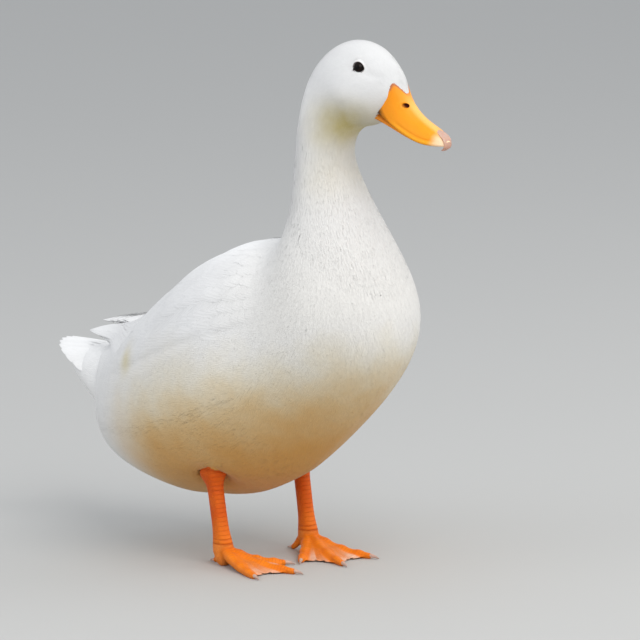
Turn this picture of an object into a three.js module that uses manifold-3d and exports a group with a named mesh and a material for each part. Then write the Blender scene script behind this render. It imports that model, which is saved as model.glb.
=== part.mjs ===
// A white domestic duck standing on both feet, life size, in millimetres with +Z up.
// It faces -Y, its left is +X, and its head is turned a little to its left.
// "Forward" below is measured from the line between the feet, towards the bill.
import * as THREE from 'three';
import { mergeVertices } from 'three/addons/utils/BufferGeometryUtils.js';
import Module from 'manifold-3d';

const wasm = await Module();
wasm.setup();
const { lerp, degToRad, smoothstep } = THREE.MathUtils;

// ---- Driving dimensions ----
// Each foot turns its toes in and stands a step forward or back; the left primaries lie higher.
const SIDES = [
  { name: 'left', side: 1, toeIn: degToRad(21), stepped: 4, tipsRaised: 8 },
  { name: 'right', side: -1, toeIn: degToRad(13), stepped: -5, tipsRaised: 0 },
];
const ORIGIN_BEHIND_FEET = 32; // puts the origin under the middle of the overall length
const GAP = 0.3; // between neighbouring pieces
const HEAD_TURN = degToRad(9);
const TURN_AXIS = 72; // how far forward the neck's turning axis stands
const TURN_FROM = 300; // the turn grows between these two heights
const TURN_TO = 440;

// Ribs of the body from the root of the tail to the base of the bill. Each runs from the back
// to the underside, at [forward, height], has a half width, and is widest at a share of its height.
const RIBS = [
  { back: [-214, 176], under: [-206, 156], half: 16, widest: 0.5 },
  { back: [-204, 183], under: [-199, 124], half: 31, widest: 0.48 },
  { back: [-180, 194], under: [-189, 80], half: 50, widest: 0.43 }, // rump and vent
  { back: [-142, 216], under: [-160, 66], half: 72, widest: 0.44 },
  { back: [-98, 247], under: [-104, 53], half: 92, widest: 0.47 },
  { back: [-54, 277], under: [-48, 50], half: 103, widest: 0.49 },
  { back: [-16, 298], under: [6, 61], half: 105, widest: 0.5 }, // flank, the widest rib
  { back: [10, 306], under: [48, 86], half: 100, widest: 0.49 },
  { back: [30, 311], under: [90, 120], half: 91, widest: 0.47 },
  { back: [44, 317], under: [135, 163], half: 85, widest: 0.45 },
  { back: [50, 329], under: [167, 212], half: 75, widest: 0.45 }, // breast
  { back: [51, 348], under: [158, 264], half: 56, widest: 0.46 },
  { back: [50, 370], under: [132, 312], half: 42, widest: 0.48 },
  { back: [49, 394], under: [110, 350], half: 33, widest: 0.5 },
  { back: [51, 420], under: [97, 380], half: 28, widest: 0.5 },
  { back: [57, 446], under: [104, 404], half: 26.5, widest: 0.5 }, // the neck at its thinnest
  { back: [67, 467], under: [113, 412], half: 29, widest: 0.46 },
  { back: [85, 485], under: [120, 415], half: 32, widest: 0.45 }, // cheeks
  { back: [109, 495], under: [128, 416], half: 31.5, widest: 0.47 },
  { back: [132, 490], under: [139, 420], half: 27.5, widest: 0.49 },
  { back: [147, 479], under: [147, 427], half: 19, widest: 0.45 },
  { back: [158.5, 467], under: [153, 432], half: 13.5, widest: 0.38 }, // forehead
  { back: [163.5, 456], under: [158, 438], half: 8, widest: 0.4 },
  { back: [167, 446], under: [163, 440], half: 2.5, widest: 0.5 },
];
const KEEL = { narrowing: 0.35, rib: 7, spread: 3 }; // the trunk narrows towards the belly
const BODY_STEPS = 44;
const BODY_SIDES = 16;

// Cuts between the trunk and its neighbours: a point and the way the cut faces, [forward, height].
const TAIL_CUT = { point: [-188, 150], facing: [-1, 0.1] };
const NECK_CUT = { point: [52, 332], facing: [0.73, 0.68] };
const HEAD_CUT = { point: [58, 444], facing: [0.68, 0.73] };

const EYE = { forward: 128, height: 470.5, aside: 21.3, radius: 5.6 };

// The bill's own frame: along from the corner of the mouth to the tip, up square to that.
const BILL = { corner: [140, 432.5], droop: degToRad(21), sides: 16 };
const UPPER = { steps: 12, vault: 3 };
const UPPER_STATIONS = [
  { along: -6, top: 31, rim: 0, half: 14, round: 0.4 },
  { along: 3, top: 34, rim: -1, half: 14.5, round: 0.4 },
  { along: 10, top: 30.5, rim: -3, half: 14.5, round: 0.55 },
  { along: 17.5, top: 24, rim: -5, half: 14.5, round: 0.8 },
  { along: 26, top: 18, rim: -6.4, half: 14.5, round: 1 },
  { along: 36, top: 13, rim: -7.6, half: 14.8, round: 1.1 },
  { along: 46, top: 10, rim: -8.1, half: 15.4, round: 1.1 },
  { along: 55, top: 8.4, rim: -7.7, half: 15.8, round: 1 },
  { along: 63, top: 6.8, rim: -6.2, half: 14.2, round: 0.9 },
  { along: 70, top: 4.8, rim: -4.4, half: 10.5, round: 0.9 },
  { along: 75, top: 1.8, rim: -3, half: 5, round: 0.9 },
];
const LOWER = { steps: 8, vault: 0.5 };
const LOWER_STATIONS = [
  { along: -6, top: 0, rim: -8, half: 12.8, round: 0.8 },
  { along: 6, top: -1, rim: -8, half: 13, round: 0.8 },
  { along: 16, top: -3, rim: -8, half: 13, round: 0.8 },
  { along: 32, top: -5, rim: -9, half: 12.8, round: 0.8 },
  { along: 48, top: -5, rim: -9.4, half: 12.8, round: 0.8 },
  { along: 60, top: -4, rim: -8, half: 10.5, round: 0.8 },
  { along: 67, top: -4, rim: -6.4, half: 5, round: 0.8 },
];
const NAIL = {
  half: 5.5,
  edge: 0.8,
  thick: 2.2,
  way: [[61, 6.4], [67, 5], [72.5, 2.6], [75.5, -3], [73.5, -7.5]], // each [along, up]
};
const NOSTRIL = { along: 25.5, up: 14, aside: 17, long: 5.2, tall: 3, deep: 12, pitch: degToRad(29) };

// A wing lies on the body between two ribs, about a line at an angle off the back.
const WING = {
  ribs: [8.7, 3.3],
  angles: [degToRad(48), degToRad(43)],
  reach: degToRad(26),
  rounded: { front: 0.3, rear: 0.4 },
  thick: 4.5,
  sunk: 4,
};
// The primaries of a wing leave the body at two ribs and end over the tail. The first is the
// longest: the next ends in front of it and higher, and the last in front of it and lower.
const PRIMARY = {
  half: 8.5,
  thick: 0.9,
  roots: [{ rib: 4.4, out: -2 }, { rib: 3.2, out: 2 }],
  bend: { aside: 29, forward: -178, height: 197 },
  tip: { aside: 9, forward: -235, height: 190 },
  steps: [
    { angle: degToRad(46), bend: [0, 0, 0], tip: [0, 0, 0] },
    { angle: degToRad(33), bend: [-5, 0, 0], tip: [3, 24, 3] },
    { angle: degToRad(56), bend: [3, 0, -8], tip: [6, 38, -4] },
  ],
};

// The soft wedge that carries the tail feathers, and the feathers fanned from it.
const TAIL_WEDGE = { forward: [-180, -258], top: [182, 176], bottom: [100, 163], half: [36, 27], droop: 8 };
const TAIL_FAN = {
  count: 9,
  spread: degToRad(22),
  long: 84,
  short: 38,
  half: 11,
  thick: 1.1,
  root: { aside: 14, forward: -190, height: 175 },
  arch: 18,
  roll: 1.5, // how steeply the outermost feathers lean
};

const THIGH = [
  { aside: 50, forward: 26, height: 152 },
  { aside: 58, forward: 8, height: 124 },
  { aside: 56, forward: -8, height: 101 },
  { aside: 52, forward: -14, height: 86 },
];
const THIGH_RADIUS = [36, 13];
const HOCK = { aside: 52, forward: -14, height: 84 };
const ANKLE = { aside: 51, forward: -2, height: 17 };
const SHANK = { wide: 6.8, deep: 8.2, hockSwell: 3.8, ankleSwell: 2.4 };
const CUFF_HEIGHT = 95; // where the feathers end on the leg
const LEG_POCKET = 1.5; // clear space round the leg where it leaves the feathers
const SHANK_CUT = 17; // where the shank meets the foot
const PAD = { radius: 9, height: 12, tall: 13 }; // the ball of the foot, pressed on the floor
const TOES = [
  { name: 'inner', spread: degToRad(-31), length: 58 },
  { name: 'middle', spread: 0, length: 79 },
  { name: 'outer', spread: degToRad(33), length: 70 },
];
const TOE = { root: 6, tip: 3.4, swell: 0.5, instep: 12, arch: 2.8, pressed: 0.76 };
const WEB = { thick: 2, from: 0.06, reach: 0.92, scallop: 0.14, sag: 2.4, drop: 1.2 };
const CLAW = { length: 9, radius: 2.5, tip: 0.5 };
const HALLUX = { length: 17, inset: 5, root: { inset: 3, behind: 5, height: 15 }, radius: [3.8, 2.3] };
const SPUR = { length: 6, radius: 2 };

const FEATHER = { color: 0xf4f1ea, roughness: 0.85 };
const HORN = { color: 0xf0981f, roughness: 0.45 };
const NAIL_HORN = { color: 0xe8b8a4, roughness: 0.4 };
const LEG_SKIN = { color: 0xe2662b, roughness: 0.55 };
const CLAW_HORN = { color: 0xe6cdb4, roughness: 0.4 };
const EYE_GLASS = { color: 0x1c1412, roughness: 0.08 };

const ASIDE = new THREE.Vector3(1, 0, 0);
const UP = new THREE.Vector3(0, 0, 1);

const group = new THREE.Group();

// ---- Helpers ----
const at = (aside, forward, height) => new THREE.Vector3(aside, -forward - ORIGIN_BEHIND_FEET, height);
const steps = (count, build) => Array.from({ length: count }, (_, i) => build(i / (count - 1), i));
const around = (sides, build) => Array.from({ length: sides }, (_, j) => build((2 * Math.PI * j) / sides));
const dome = (u) => Math.sqrt(Math.max(0, 1 - Math.max(0, u) ** 2));
const bump = (u, centre, width) => Math.exp(-(((u - centre) / width) ** 2));
const between = ([first, last], u) => lerp(first, last, u);

// A named spot on one side of the duck, moved on by [aside, forward, height].
function spotOn(side, spot, move = [0, 0, 0]) {
  return at(side * (spot.aside + move[0]), spot.forward + move[1], spot.height + move[2]);
}

// A uniform cubic B-spline through rows of numbers, with its ends held by mirrored rows.
function spline(rows, t) {
  const last = rows.length - 1;
  const row = (i, k) => {
    if (i < 0) return 2 * rows[0][k] - rows[1][k];
    if (i > last) return 2 * rows[last][k] - rows[last - 1][k];
    return rows[i][k];
  };
  const i = Math.min(Math.floor(t), last - 1);
  const f = t - i;
  const weights = [(1 - f) ** 3, 3 * f ** 3 - 6 * f ** 2 + 4, -3 * f ** 3 + 3 * f ** 2 + 3 * f + 1, f ** 3];
  return rows[0].map((_, k) => weights.reduce((sum, w, j) => sum + (w * row(i + j - 1, k)) / 6, 0));
}

function solid(geometry) {
  geometry.deleteAttribute('normal');
  geometry.deleteAttribute('uv');
  const merged = mergeVertices(geometry, 1e-4);
  return new wasm.Manifold(new wasm.Mesh({
    numProp: 3,
    vertProperties: new Float32Array(merged.attributes.position.array),
    triVerts: new Uint32Array(merged.index.array),
  }));
}

// One closed body through rings of points, with a fan of triangles over each end.
function loft(rings) {
  const sides = rings[0].length;
  const points = rings.flat();
  [rings[0], rings.at(-1)].forEach((ring) => {
    points.push(ring.reduce((sum, p) => sum.add(p), new THREE.Vector3()).divideScalar(sides));
  });
  const index = [];
  const far = (rings.length - 1) * sides;
  for (let j = 0; j < sides; j += 1) {
    const next = (j + 1) % sides;
    for (let a = 0; a < far; a += sides) {
      const b = a + sides;
      index.push(a + j, b + j, a + next, a + next, b + j, b + next);
    }
    index.push(points.length - 2, j, next, points.length - 1, far + next, far + j);
  }
  let volume = 0;
  for (let k = 0; k < index.length; k += 3) {
    const [p, q, r] = [points[index[k]], points[index[k + 1]], points[index[k + 2]]];
    volume += p.dot(new THREE.Vector3().crossVectors(q, r));
  }
  const geometry = new THREE.BufferGeometry().setFromPoints(points);
  geometry.setIndex(volume > 0 ? index : index.reverse());
  return solid(geometry);
}

// An oval section carried along a curve: wide(u) lies along `across`, deep(u) square to it.
function sweep(curve, { count, sides }, across, wide, deep = wide) {
  return loft(steps(count, (u) => {
    const centre = curve.getPoint(u);
    const along = curve.getTangent(u);
    const b = new THREE.Vector3().crossVectors(along, across).normalize();
    const a = new THREE.Vector3().crossVectors(b, along).normalize();
    return around(sides, (angle) => centre.clone()
      .addScaledVector(a, wide(u) * Math.cos(angle))
      .addScaledVector(b, deep(u) * Math.sin(angle)));
  }));
}

// Everything on the far side of a plane, as a block far larger than the duck.
function beyond(point, facing, gap = 0) {
  const size = 1500;
  const block = new THREE.BoxGeometry(size, size, size);
  block.translate(0, 0, size / 2 + gap);
  block.applyQuaternion(new THREE.Quaternion().setFromUnitVectors(UP, facing.clone().normalize()));
  block.translate(point.x, point.y, point.z);
  return solid(block);
}

const above = (height, gap = 0) => beyond(new THREE.Vector3(0, 0, height), UP, gap);
const below = (height) => beyond(new THREE.Vector3(0, 0, height), UP.clone().negate());

// The triangles of the largest connected body, without the crumbs that a cut can leave.
function mainBody({ vertProperties, triVerts }) {
  const leader = Uint32Array.from({ length: vertProperties.length / 3 }, (_, i) => i);
  const find = (i) => {
    let root = i;
    while (leader[root] !== root) root = leader[root];
    leader[i] = root;
    return root;
  };
  const triangles = [];
  for (let k = 0; k < triVerts.length; k += 3) {
    const [a, b, c] = triVerts.subarray(k, k + 3);
    triangles.push([a, b, c]);
    leader[find(b)] = find(a);
    leader[find(c)] = find(a);
  }
  const point = (i) => new THREE.Vector3().fromArray(vertProperties, 3 * i);
  const volumes = new Map();
  triangles.forEach(([a, b, c]) => {
    const volume = point(a).dot(point(b).cross(point(c)));
    volumes.set(find(a), (volumes.get(find(a)) ?? 0) + volume);
  });
  const [largest] = [...volumes.entries()].reduce((best, next) => (next[1] > best[1] ? next : best));
  return triangles.filter(([a]) => find(a) === largest).flat();
}

function part(name, body, look) {
  const mesh = body.getMesh();
  const whole = new THREE.BufferGeometry();
  whole.setAttribute('position', new THREE.BufferAttribute(mesh.vertProperties, 3));
  whole.setIndex(mainBody(mesh));
  const geometry = mergeVertices(whole, 1e-5);
  geometry.computeVertexNormals();
  const piece = new THREE.Mesh(geometry, new THREE.MeshStandardMaterial({ metalness: 0, ...look }));
  piece.name = name;
  group.add(piece);
}

// ---- Body ----
// The place of a point once the neck has turned it about its axis by an angle.
function turnedBy(angle, aside, forward, height) {
  const reach = forward - TURN_AXIS;
  return at(
    aside * Math.cos(angle) + reach * Math.sin(angle),
    TURN_AXIS + reach * Math.cos(angle) - aside * Math.sin(angle),
    height,
  );
}

function turned(aside, forward, height) {
  return turnedBy(HEAD_TURN * smoothstep(height, TURN_FROM, TURN_TO), aside, forward, height);
}

const ribRows = RIBS.map((rib) => [...rib.back, ...rib.under, rib.half, rib.widest]);

// A point on the body: t counts ribs, angle goes round from the back, out is how far off it.
function onBody(t, angle, out = 0) {
  const [backF, backZ, underF, underZ, half, widest] = spline(ribRows, t);
  const c = Math.cos(angle);
  const s = Math.sin(angle);
  const share = c > 0 ? widest + (1 - widest) * c : widest * (1 + c);
  const keel = 1 + KEEL.narrowing * Math.sqrt(Math.max(0, -c)) * bump(t, KEEL.rib, KEEL.spread);
  const tall = Math.hypot(backF - underF, backZ - underZ);
  const lean = new THREE.Vector2(s / half, (2 * c) / tall).normalize();
  return turned(
    half * Math.sign(s) * Math.abs(s) ** keel + out * lean.x,
    lerp(underF, backF, share) + (out * lean.y * (backF - underF)) / tall,
    lerp(underZ, backZ, share) + (out * lean.y * (backZ - underZ)) / tall,
  );
}

function wholeBody(grow = 0) {
  return loft(steps(BODY_STEPS, (u) => (
    around(BODY_SIDES, (angle) => onBody(u * (RIBS.length - 1), angle, grow))
  )));
}

function cut({ point, facing }, turn = 0) {
  const way = new THREE.Vector3(facing[0] * Math.sin(turn), -facing[0] * Math.cos(turn), facing[1]);
  const place = at(0, point[0], point[1]);
  return { before: beyond(place, way.clone().negate()), after: beyond(place, way, GAP) };
}

// ---- Wings ----
function wingShield(side, grow) {
  return loft(steps(9, (s) => {
    const rib = between(WING.ribs, s);
    const front = dome(1 - s / WING.rounded.front);
    const rear = dome((s - 1 + WING.rounded.rear) / (WING.rounded.rear + 0.15));
    const middle = between(WING.angles, s);
    const reach = WING.reach * Math.max(0.12, front * rear) + grow / 90;
    const ring = (v, out) => onBody(rib, side * lerp(middle - reach, middle + reach, v), out);
    const rise = (v) => WING.thick * dome(Math.abs(2 * v - 1)) * Math.min(1, 0.35 + front);
    const outer = steps(4, (v) => ring(v, rise(v) + grow));
    const inner = steps(4, (v) => ring(1 - v, -WING.sunk - grow));
    return [...outer, ...inner];
  }));
}

function primaries({ side, tipsRaised }, grow) {
  const across = new THREE.Vector3(side * -0.45, 0, 1);
  const wide = (s) => PRIMARY.half * dome((s - 0.55) / 0.47) + grow;
  const deep = (s) => PRIMARY.thick * (1.5 - s) + grow;
  const vanes = PRIMARY.steps.map((step) => {
    const roots = PRIMARY.roots.map(({ rib, out }) => onBody(rib, side * step.angle, out));
    const bend = spotOn(side, PRIMARY.bend, step.bend).addScaledVector(UP, 0.6 * tipsRaised);
    const tip = spotOn(side, PRIMARY.tip, step.tip).addScaledVector(UP, tipsRaised);
    const curve = new THREE.CatmullRomCurve3([...roots, bend, tip]);
    return sweep(curve, { count: 6, sides: 5 }, across, wide, deep);
  });
  return vanes.reduce((sum, vane) => sum.add(vane));
}

const wing = (where, grow = 0) => wingShield(where.side, grow).add(primaries(where, grow));

// ---- Tail ----
function tailWedge() {
  return loft(steps(7, (u) => {
    const top = between(TAIL_WEDGE.top, u);
    const bottom = between(TAIL_WEDGE.bottom, u ** 1.3);
    const half = between(TAIL_WEDGE.half, u) * dome((u - 0.3) / 0.78);
    return around(12, (angle) => {
      const height = lerp(bottom, top, (1 + Math.cos(angle)) / 2);
      const droop = TAIL_WEDGE.droop * Math.sin(angle) ** 2 * u;
      return at(half * Math.sin(angle), between(TAIL_WEDGE.forward, u), height - droop);
    });
  }));
}

function tailFeathers() {
  const wide = (s) => TAIL_FAN.half * dome((s - 0.72) / 0.29);
  const deep = (s) => TAIL_FAN.thick * (1.6 - s);
  const vanes = steps(TAIL_FAN.count, (u) => {
    const place = 2 * u - 1;
    const angle = place * TAIL_FAN.spread;
    const long = lerp(TAIL_FAN.long, TAIL_FAN.short, place ** 2);
    const root = spotOn(place, TAIL_FAN.root).addScaledVector(UP, -TAIL_FAN.arch * place ** 2);
    const fall = 5 * place ** 2;
    const tip = root.clone().add(new THREE.Vector3(Math.sin(angle) * long, Math.cos(angle) * long, -fall));
    const lean = TAIL_FAN.roll * Math.sign(place) * Math.sqrt(Math.abs(place));
    const across = new THREE.Vector3(1, 0, -lean);
    return sweep(new THREE.LineCurve3(root, tip), { count: 5, sides: 5 }, across, wide, deep);
  });
  return vanes.reduce((sum, vane) => sum.add(vane));
}

// ---- Head ----
function onBill(aside, along, up) {
  const forward = BILL.corner[0] + along * Math.cos(BILL.droop) + up * Math.sin(BILL.droop);
  const height = BILL.corner[1] - along * Math.sin(BILL.droop) + up * Math.cos(BILL.droop);
  return turnedBy(HEAD_TURN, aside, forward, height);
}

// Half of the bill: a domed or dished section from rim to rim, closed by a shallow vault.
function mandible(stations, shape, grow = 0) {
  const rows = stations.map((s) => [s.along, s.top, s.rim, s.half, s.round]);
  return loft(steps(shape.steps, (u) => {
    const [along, top, rim, half, round] = spline(rows, u * (rows.length - 1));
    return around(BILL.sides, (angle) => {
      const c = Math.cos(angle);
      const s = Math.sin(angle);
      const aside = (half + grow) * Math.sign(c) * Math.abs(c) ** round;
      const up = s >= 0 ? (top - rim + 2 * grow) * s ** round : shape.vault * -s;
      return onBill(aside, along, rim - grow + up);
    });
  }));
}

// The hard nail runs forward on the tip of the bill and hooks down over it.
function billNail(grow = 0) {
  const curve = new THREE.CatmullRomCurve3(NAIL.way.map(([along, up]) => onBill(0, along, up)));
  const across = onBill(1, 0, 0).sub(onBill(0, 0, 0));
  const wide = (u) => NAIL.half * dome(1 - u / 0.35) * dome(u - 0.3) + NAIL.edge + grow;
  const deep = () => NAIL.thick / 2 + grow;
  return sweep(curve, { count: 7, sides: 8 }, across, wide, deep);
}

function nostrils() {
  const pits = SIDES.map(({ side }) => {
    const pit = new THREE.SphereGeometry(0.5, 8, 6).scale(NOSTRIL.deep, NOSTRIL.long, NOSTRIL.tall);
    const place = onBill(side * NOSTRIL.aside, NOSTRIL.along, NOSTRIL.up);
    return solid(pit.rotateX(BILL.droop + NOSTRIL.pitch).rotateZ(HEAD_TURN).translate(...place));
  });
  return pits[0].add(pits[1]);
}

function eyeball(side, grow = 0) {
  const place = turned(side * EYE.aside, EYE.forward, EYE.height);
  return solid(new THREE.SphereGeometry(EYE.radius + grow, 10, 8).translate(...place));
}

// ---- Legs and feet ----
function thigh({ side, stepped }, grow = 0) {
  const spots = THIGH.map((spot, i) => spotOn(side, spot, [0, (stepped * i) / (THIGH.length - 1), 0]));
  const curve = new THREE.CatmullRomCurve3(spots);
  const deep = (u) => between(THIGH_RADIUS, u ** 0.8) + grow;
  const wide = (u) => 0.92 * between(THIGH_RADIUS, u ** 0.8) + grow;
  return sweep(curve, { count: 6, sides: 12 }, ASIDE, wide, deep);
}

const ankle = ({ side, stepped }) => spotOn(side, ANKLE, [0, stepped, 0]);

function shank(where, grow = 0) {
  const hock = spotOn(where.side, HOCK, [0, where.stepped, 0]);
  const top = hock.lerp(ankle(where), -0.25);
  const foot = ankle(where).addScaledVector(UP, -4);
  const swell = (u) => SHANK.hockSwell * bump(u, 0.2, 0.17) + SHANK.ankleSwell * bump(u, 1, 0.2) + grow;
  const wide = (u) => SHANK.wide + swell(u);
  const deep = (u) => SHANK.deep + swell(u);
  return sweep(new THREE.LineCurve3(top, foot), { count: 9, sides: 10 }, ASIDE, wide, deep);
}

function toeWay({ side, toeIn }, { spread }) {
  const angle = side * (spread - toeIn);
  return new THREE.Vector3(Math.sin(angle), -Math.cos(angle), 0);
}

// A toe tapers to its tip and swells a little at each of its two joints.
function toeRadius(u) {
  return lerp(TOE.root, TOE.tip, u) + TOE.swell * (bump(u, 0.5, 0.07) + bump(u, 0.8, 0.07));
}

function onToe(where, toe, u) {
  const spot = ankle(where).addScaledVector(toeWay(where, toe), toe.length * u);
  return spot.setZ(TOE.pressed * toeRadius(u) + TOE.instep * (1 - u) ** TOE.arch);
}

function toeBody(where, toe) {
  const curve = new THREE.CatmullRomCurve3(steps(6, (u) => onToe(where, toe, u)));
  const across = new THREE.Vector3().crossVectors(toeWay(where, toe), UP);
  return sweep(curve, { count: 6, sides: 6 }, across, toeRadius);
}

// The web between two toes: it hangs a little between them and its front edge is scooped.
function web(where, first, second) {
  const edge = (u, v, lift) => {
    const reach = WEB.reach - WEB.scallop * Math.sin(Math.PI * v);
    const along = lerp(WEB.from, reach, u);
    const spot = onToe(where, first, along).lerp(onToe(where, second, along), v);
    return spot.setZ(Math.max(0, spot.z - WEB.drop - WEB.sag * Math.sin(Math.PI * v)) + lift);
  };
  return loft(steps(4, (u) => {
    const top = steps(5, (v) => edge(u, v, WEB.thick));
    const underside = steps(5, (v) => edge(u, 1 - v, -GAP));
    return [...top, ...underside];
  }));
}

function foot(where) {
  const [inner, middle, outer] = TOES;
  const ball = new THREE.SphereGeometry(PAD.radius, 8, 5).rotateX(Math.PI / 2);
  ball.scale(1, 1, PAD.tall / PAD.radius).translate(...ankle(where).setZ(PAD.height));
  const webs = [web(where, inner, middle), web(where, middle, outer)];
  const toes = TOES.map((toe) => toeBody(where, toe));
  return [...toes, ...webs].reduce((sum, piece) => sum.add(piece), solid(ball));
}

function claw(base, way, { length, radius }) {
  const curve = new THREE.QuadraticBezierCurve3(
    base,
    base.clone().addScaledVector(way, length * 0.6),
    base.clone().addScaledVector(way, length).setZ(2 * CLAW.tip),
  );
  const across = new THREE.Vector3().crossVectors(way, UP);
  return sweep(curve, { count: 4, sides: 6 }, across, (u) => lerp(radius, CLAW.tip, u ** 1.3));
}

// The tip of the short hind toe, pressed on the floor behind the ankle.
function halluxEnd({ side, stepped }) {
  const end = spotOn(side, ANKLE, [-HALLUX.inset, stepped - HALLUX.length, 0]);
  return end.setZ(TOE.pressed * HALLUX.radius[1]);
}

function hallux(where, grow = 0) {
  const { inset, behind, height } = HALLUX.root;
  const start = spotOn(where.side, ANKLE, [-inset, where.stepped - behind, 0]).setZ(height);
  const end = halluxEnd(where);
  const middle = start.clone().lerp(end, 0.6).setZ(TOE.pressed * HALLUX.radius[0]);
  const radius = (u) => between(HALLUX.radius, u) + grow;
  const curve = new THREE.QuadraticBezierCurve3(start, middle, end);
  return sweep(curve, { count: 7, sides: 8 }, ASIDE, radius);
}

// ---- Assembly ----
const tailCut = cut(TAIL_CUT);
const neckCut = cut(NECK_CUT);
const headCut = cut(HEAD_CUT, HEAD_TURN);
const floor = above(0);
const body = wholeBody();

let trunk = body.intersect(tailCut.before).intersect(neckCut.before);
let tail = body.add(tailWedge()).add(tailFeathers()).intersect(tailCut.after);
let head = body.intersect(headCut.after);
SIDES.forEach((where) => {
  const { side } = where;
  trunk = trunk.subtract(wing(where, GAP)).subtract(thigh(where, GAP)).subtract(shank(where, LEG_POCKET));
  tail = tail.subtract(wing(where, GAP));
  head = head.subtract(eyeball(side, GAP));
});
part('trunk', trunk, FEATHER);
part('tail', tail, FEATHER);
part('neck', body.intersect(neckCut.after).intersect(headCut.before), FEATHER);
part('head', head, FEATHER);

const face = wholeBody(GAP);
const upper = mandible(UPPER_STATIONS, UPPER).subtract(billNail(GAP)).subtract(nostrils());
const lower = mandible(LOWER_STATIONS, LOWER).subtract(mandible(UPPER_STATIONS, UPPER, GAP));
part('bill_upper', upper.subtract(face), HORN);
part('bill_lower', lower.subtract(face), HORN);
part('bill_nail', billNail(), NAIL_HORN);

SIDES.forEach((where) => {
  const { name, side } = where;
  part(`eye_${name}`, eyeball(side), EYE_GLASS);
  part(`wing_${name}`, wing(where), FEATHER);
  part(`thigh_${name}`, thigh(where).intersect(above(CUFF_HEIGHT, GAP)), FEATHER);
  const bare = below(CUFF_HEIGHT).intersect(above(SHANK_CUT, GAP));
  part(`shank_${name}`, shank(where).intersect(bare), LEG_SKIN);
  const standing = below(SHANK_CUT).intersect(floor);
  part(`foot_${name}`, foot(where).intersect(standing).subtract(hallux(where, GAP)), LEG_SKIN);
  part(`hallux_${name}`, hallux(where).intersect(standing), LEG_SKIN);
  TOES.forEach((toe) => {
    const way = toeWay(where, toe);
    const nail = claw(onToe(where, toe, 1).addScaledVector(way, GAP), way, CLAW);
    part(`claw_${toe.name}_${name}`, nail.intersect(floor), CLAW_HORN);
  });
  const back = new THREE.Vector3(0, 1, 0);
  const spur = claw(halluxEnd(where), back, SPUR).intersect(floor).subtract(hallux(where, GAP));
  part(`claw_hallux_${name}`, spur, CLAW_HORN);
});

export default group;
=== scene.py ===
"""A white duck dressed around its frame: one skin, a coat of vanes, flight feathers, bill, eyes and claws.

Shapes are worked out in millimetres, in the duck's own words: "forward" is measured from the line
between the feet towards the bill, "aside" towards the duck's left, and "height" from the floor.
They are put into the meshes in metres.
"""
import math

import bpy
import numpy as np
from bpy.props import FloatProperty, FloatVectorProperty, PointerProperty
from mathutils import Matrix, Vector


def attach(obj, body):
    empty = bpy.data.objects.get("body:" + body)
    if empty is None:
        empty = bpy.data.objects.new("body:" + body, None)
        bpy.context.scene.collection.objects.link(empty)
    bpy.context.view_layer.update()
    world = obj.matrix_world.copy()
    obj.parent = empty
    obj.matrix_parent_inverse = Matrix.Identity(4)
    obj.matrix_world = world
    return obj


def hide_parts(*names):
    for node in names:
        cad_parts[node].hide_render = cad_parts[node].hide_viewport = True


bl_info = {
    "name": "White duck",
    "version": (1, 0, 0),
    "blender": (4, 5, 0),
    "location": "View3D > Sidebar > Duck",
    "description": "Dresses a packed duck with skin, feathers, bill, eyes and claws",
    "category": "Object",
}

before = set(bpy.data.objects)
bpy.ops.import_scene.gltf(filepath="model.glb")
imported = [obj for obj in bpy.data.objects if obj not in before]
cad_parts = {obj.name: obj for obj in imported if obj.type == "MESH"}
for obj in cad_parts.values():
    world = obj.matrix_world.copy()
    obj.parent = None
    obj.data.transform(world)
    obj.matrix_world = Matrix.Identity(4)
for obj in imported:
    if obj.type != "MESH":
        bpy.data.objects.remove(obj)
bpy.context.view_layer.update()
FLESH = [
    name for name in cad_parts
    if name.startswith(("trunk", "tail", "neck", "head", "thigh", "shank", "foot", "hallux"))
]

MM = 0.001
SEED = 11
# The side of a feather's patch on the map for the bake, whose own side is 1.
BAKE_PATCH = 0.003
ORIGIN_BEHIND_FEET = 32
# What differs from side to side: the sign of aside, how far the foot points inwards and is set forward,
# and how high the wing's tips are held.
SIDES = {"left": 1, "right": -1}
TOE_IN = {"left": math.radians(21), "right": math.radians(13)}
STEPPED = {"left": 4, "right": -5}
TIPS_RAISED = {"left": 8, "right": 0}

# ---- The duck's form, in millimetres ----
# Ribs from the root of the tail to the base of the bill: forward and height of the back, forward
# and height of the underside, half width, and the share of the height where it is widest.
RIBS = np.array([
    (-214, 176, -206, 156, 16, 0.5),
    (-204, 183, -199, 124, 31, 0.48),
    (-180, 194, -189, 80, 50, 0.43),
    (-142, 216, -160, 66, 72, 0.44),
    (-98, 247, -104, 53, 92, 0.47),
    (-54, 277, -48, 50, 103, 0.49),
    (-16, 298, 6, 61, 105, 0.5),
    (10, 306, 48, 86, 100, 0.49),
    (30, 311, 90, 120, 91, 0.47),
    (44, 317, 135, 163, 85, 0.45),
    (50, 329, 167, 212, 75, 0.45),
    (51, 348, 158, 264, 56, 0.46),
    (50, 370, 132, 312, 42, 0.48),
    (49, 394, 110, 350, 33, 0.5),
    (51, 420, 97, 380, 28, 0.5),
    (57, 446, 104, 404, 26.5, 0.5),
    (67, 467, 113, 412, 29, 0.46),
    (85, 485, 120, 415, 32, 0.45),
    (109, 495, 128, 416, 31.5, 0.47),
    (132, 490, 139, 420, 27.5, 0.49),
    (147, 479, 147, 427, 19, 0.45),
    (158.5, 467, 153, 432, 13.5, 0.38),
    (163.5, 456, 158, 438, 8, 0.4),
    (167, 446, 163, 440, 2.5, 0.5),
])
LAST_RIB = len(RIBS) - 1
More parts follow.
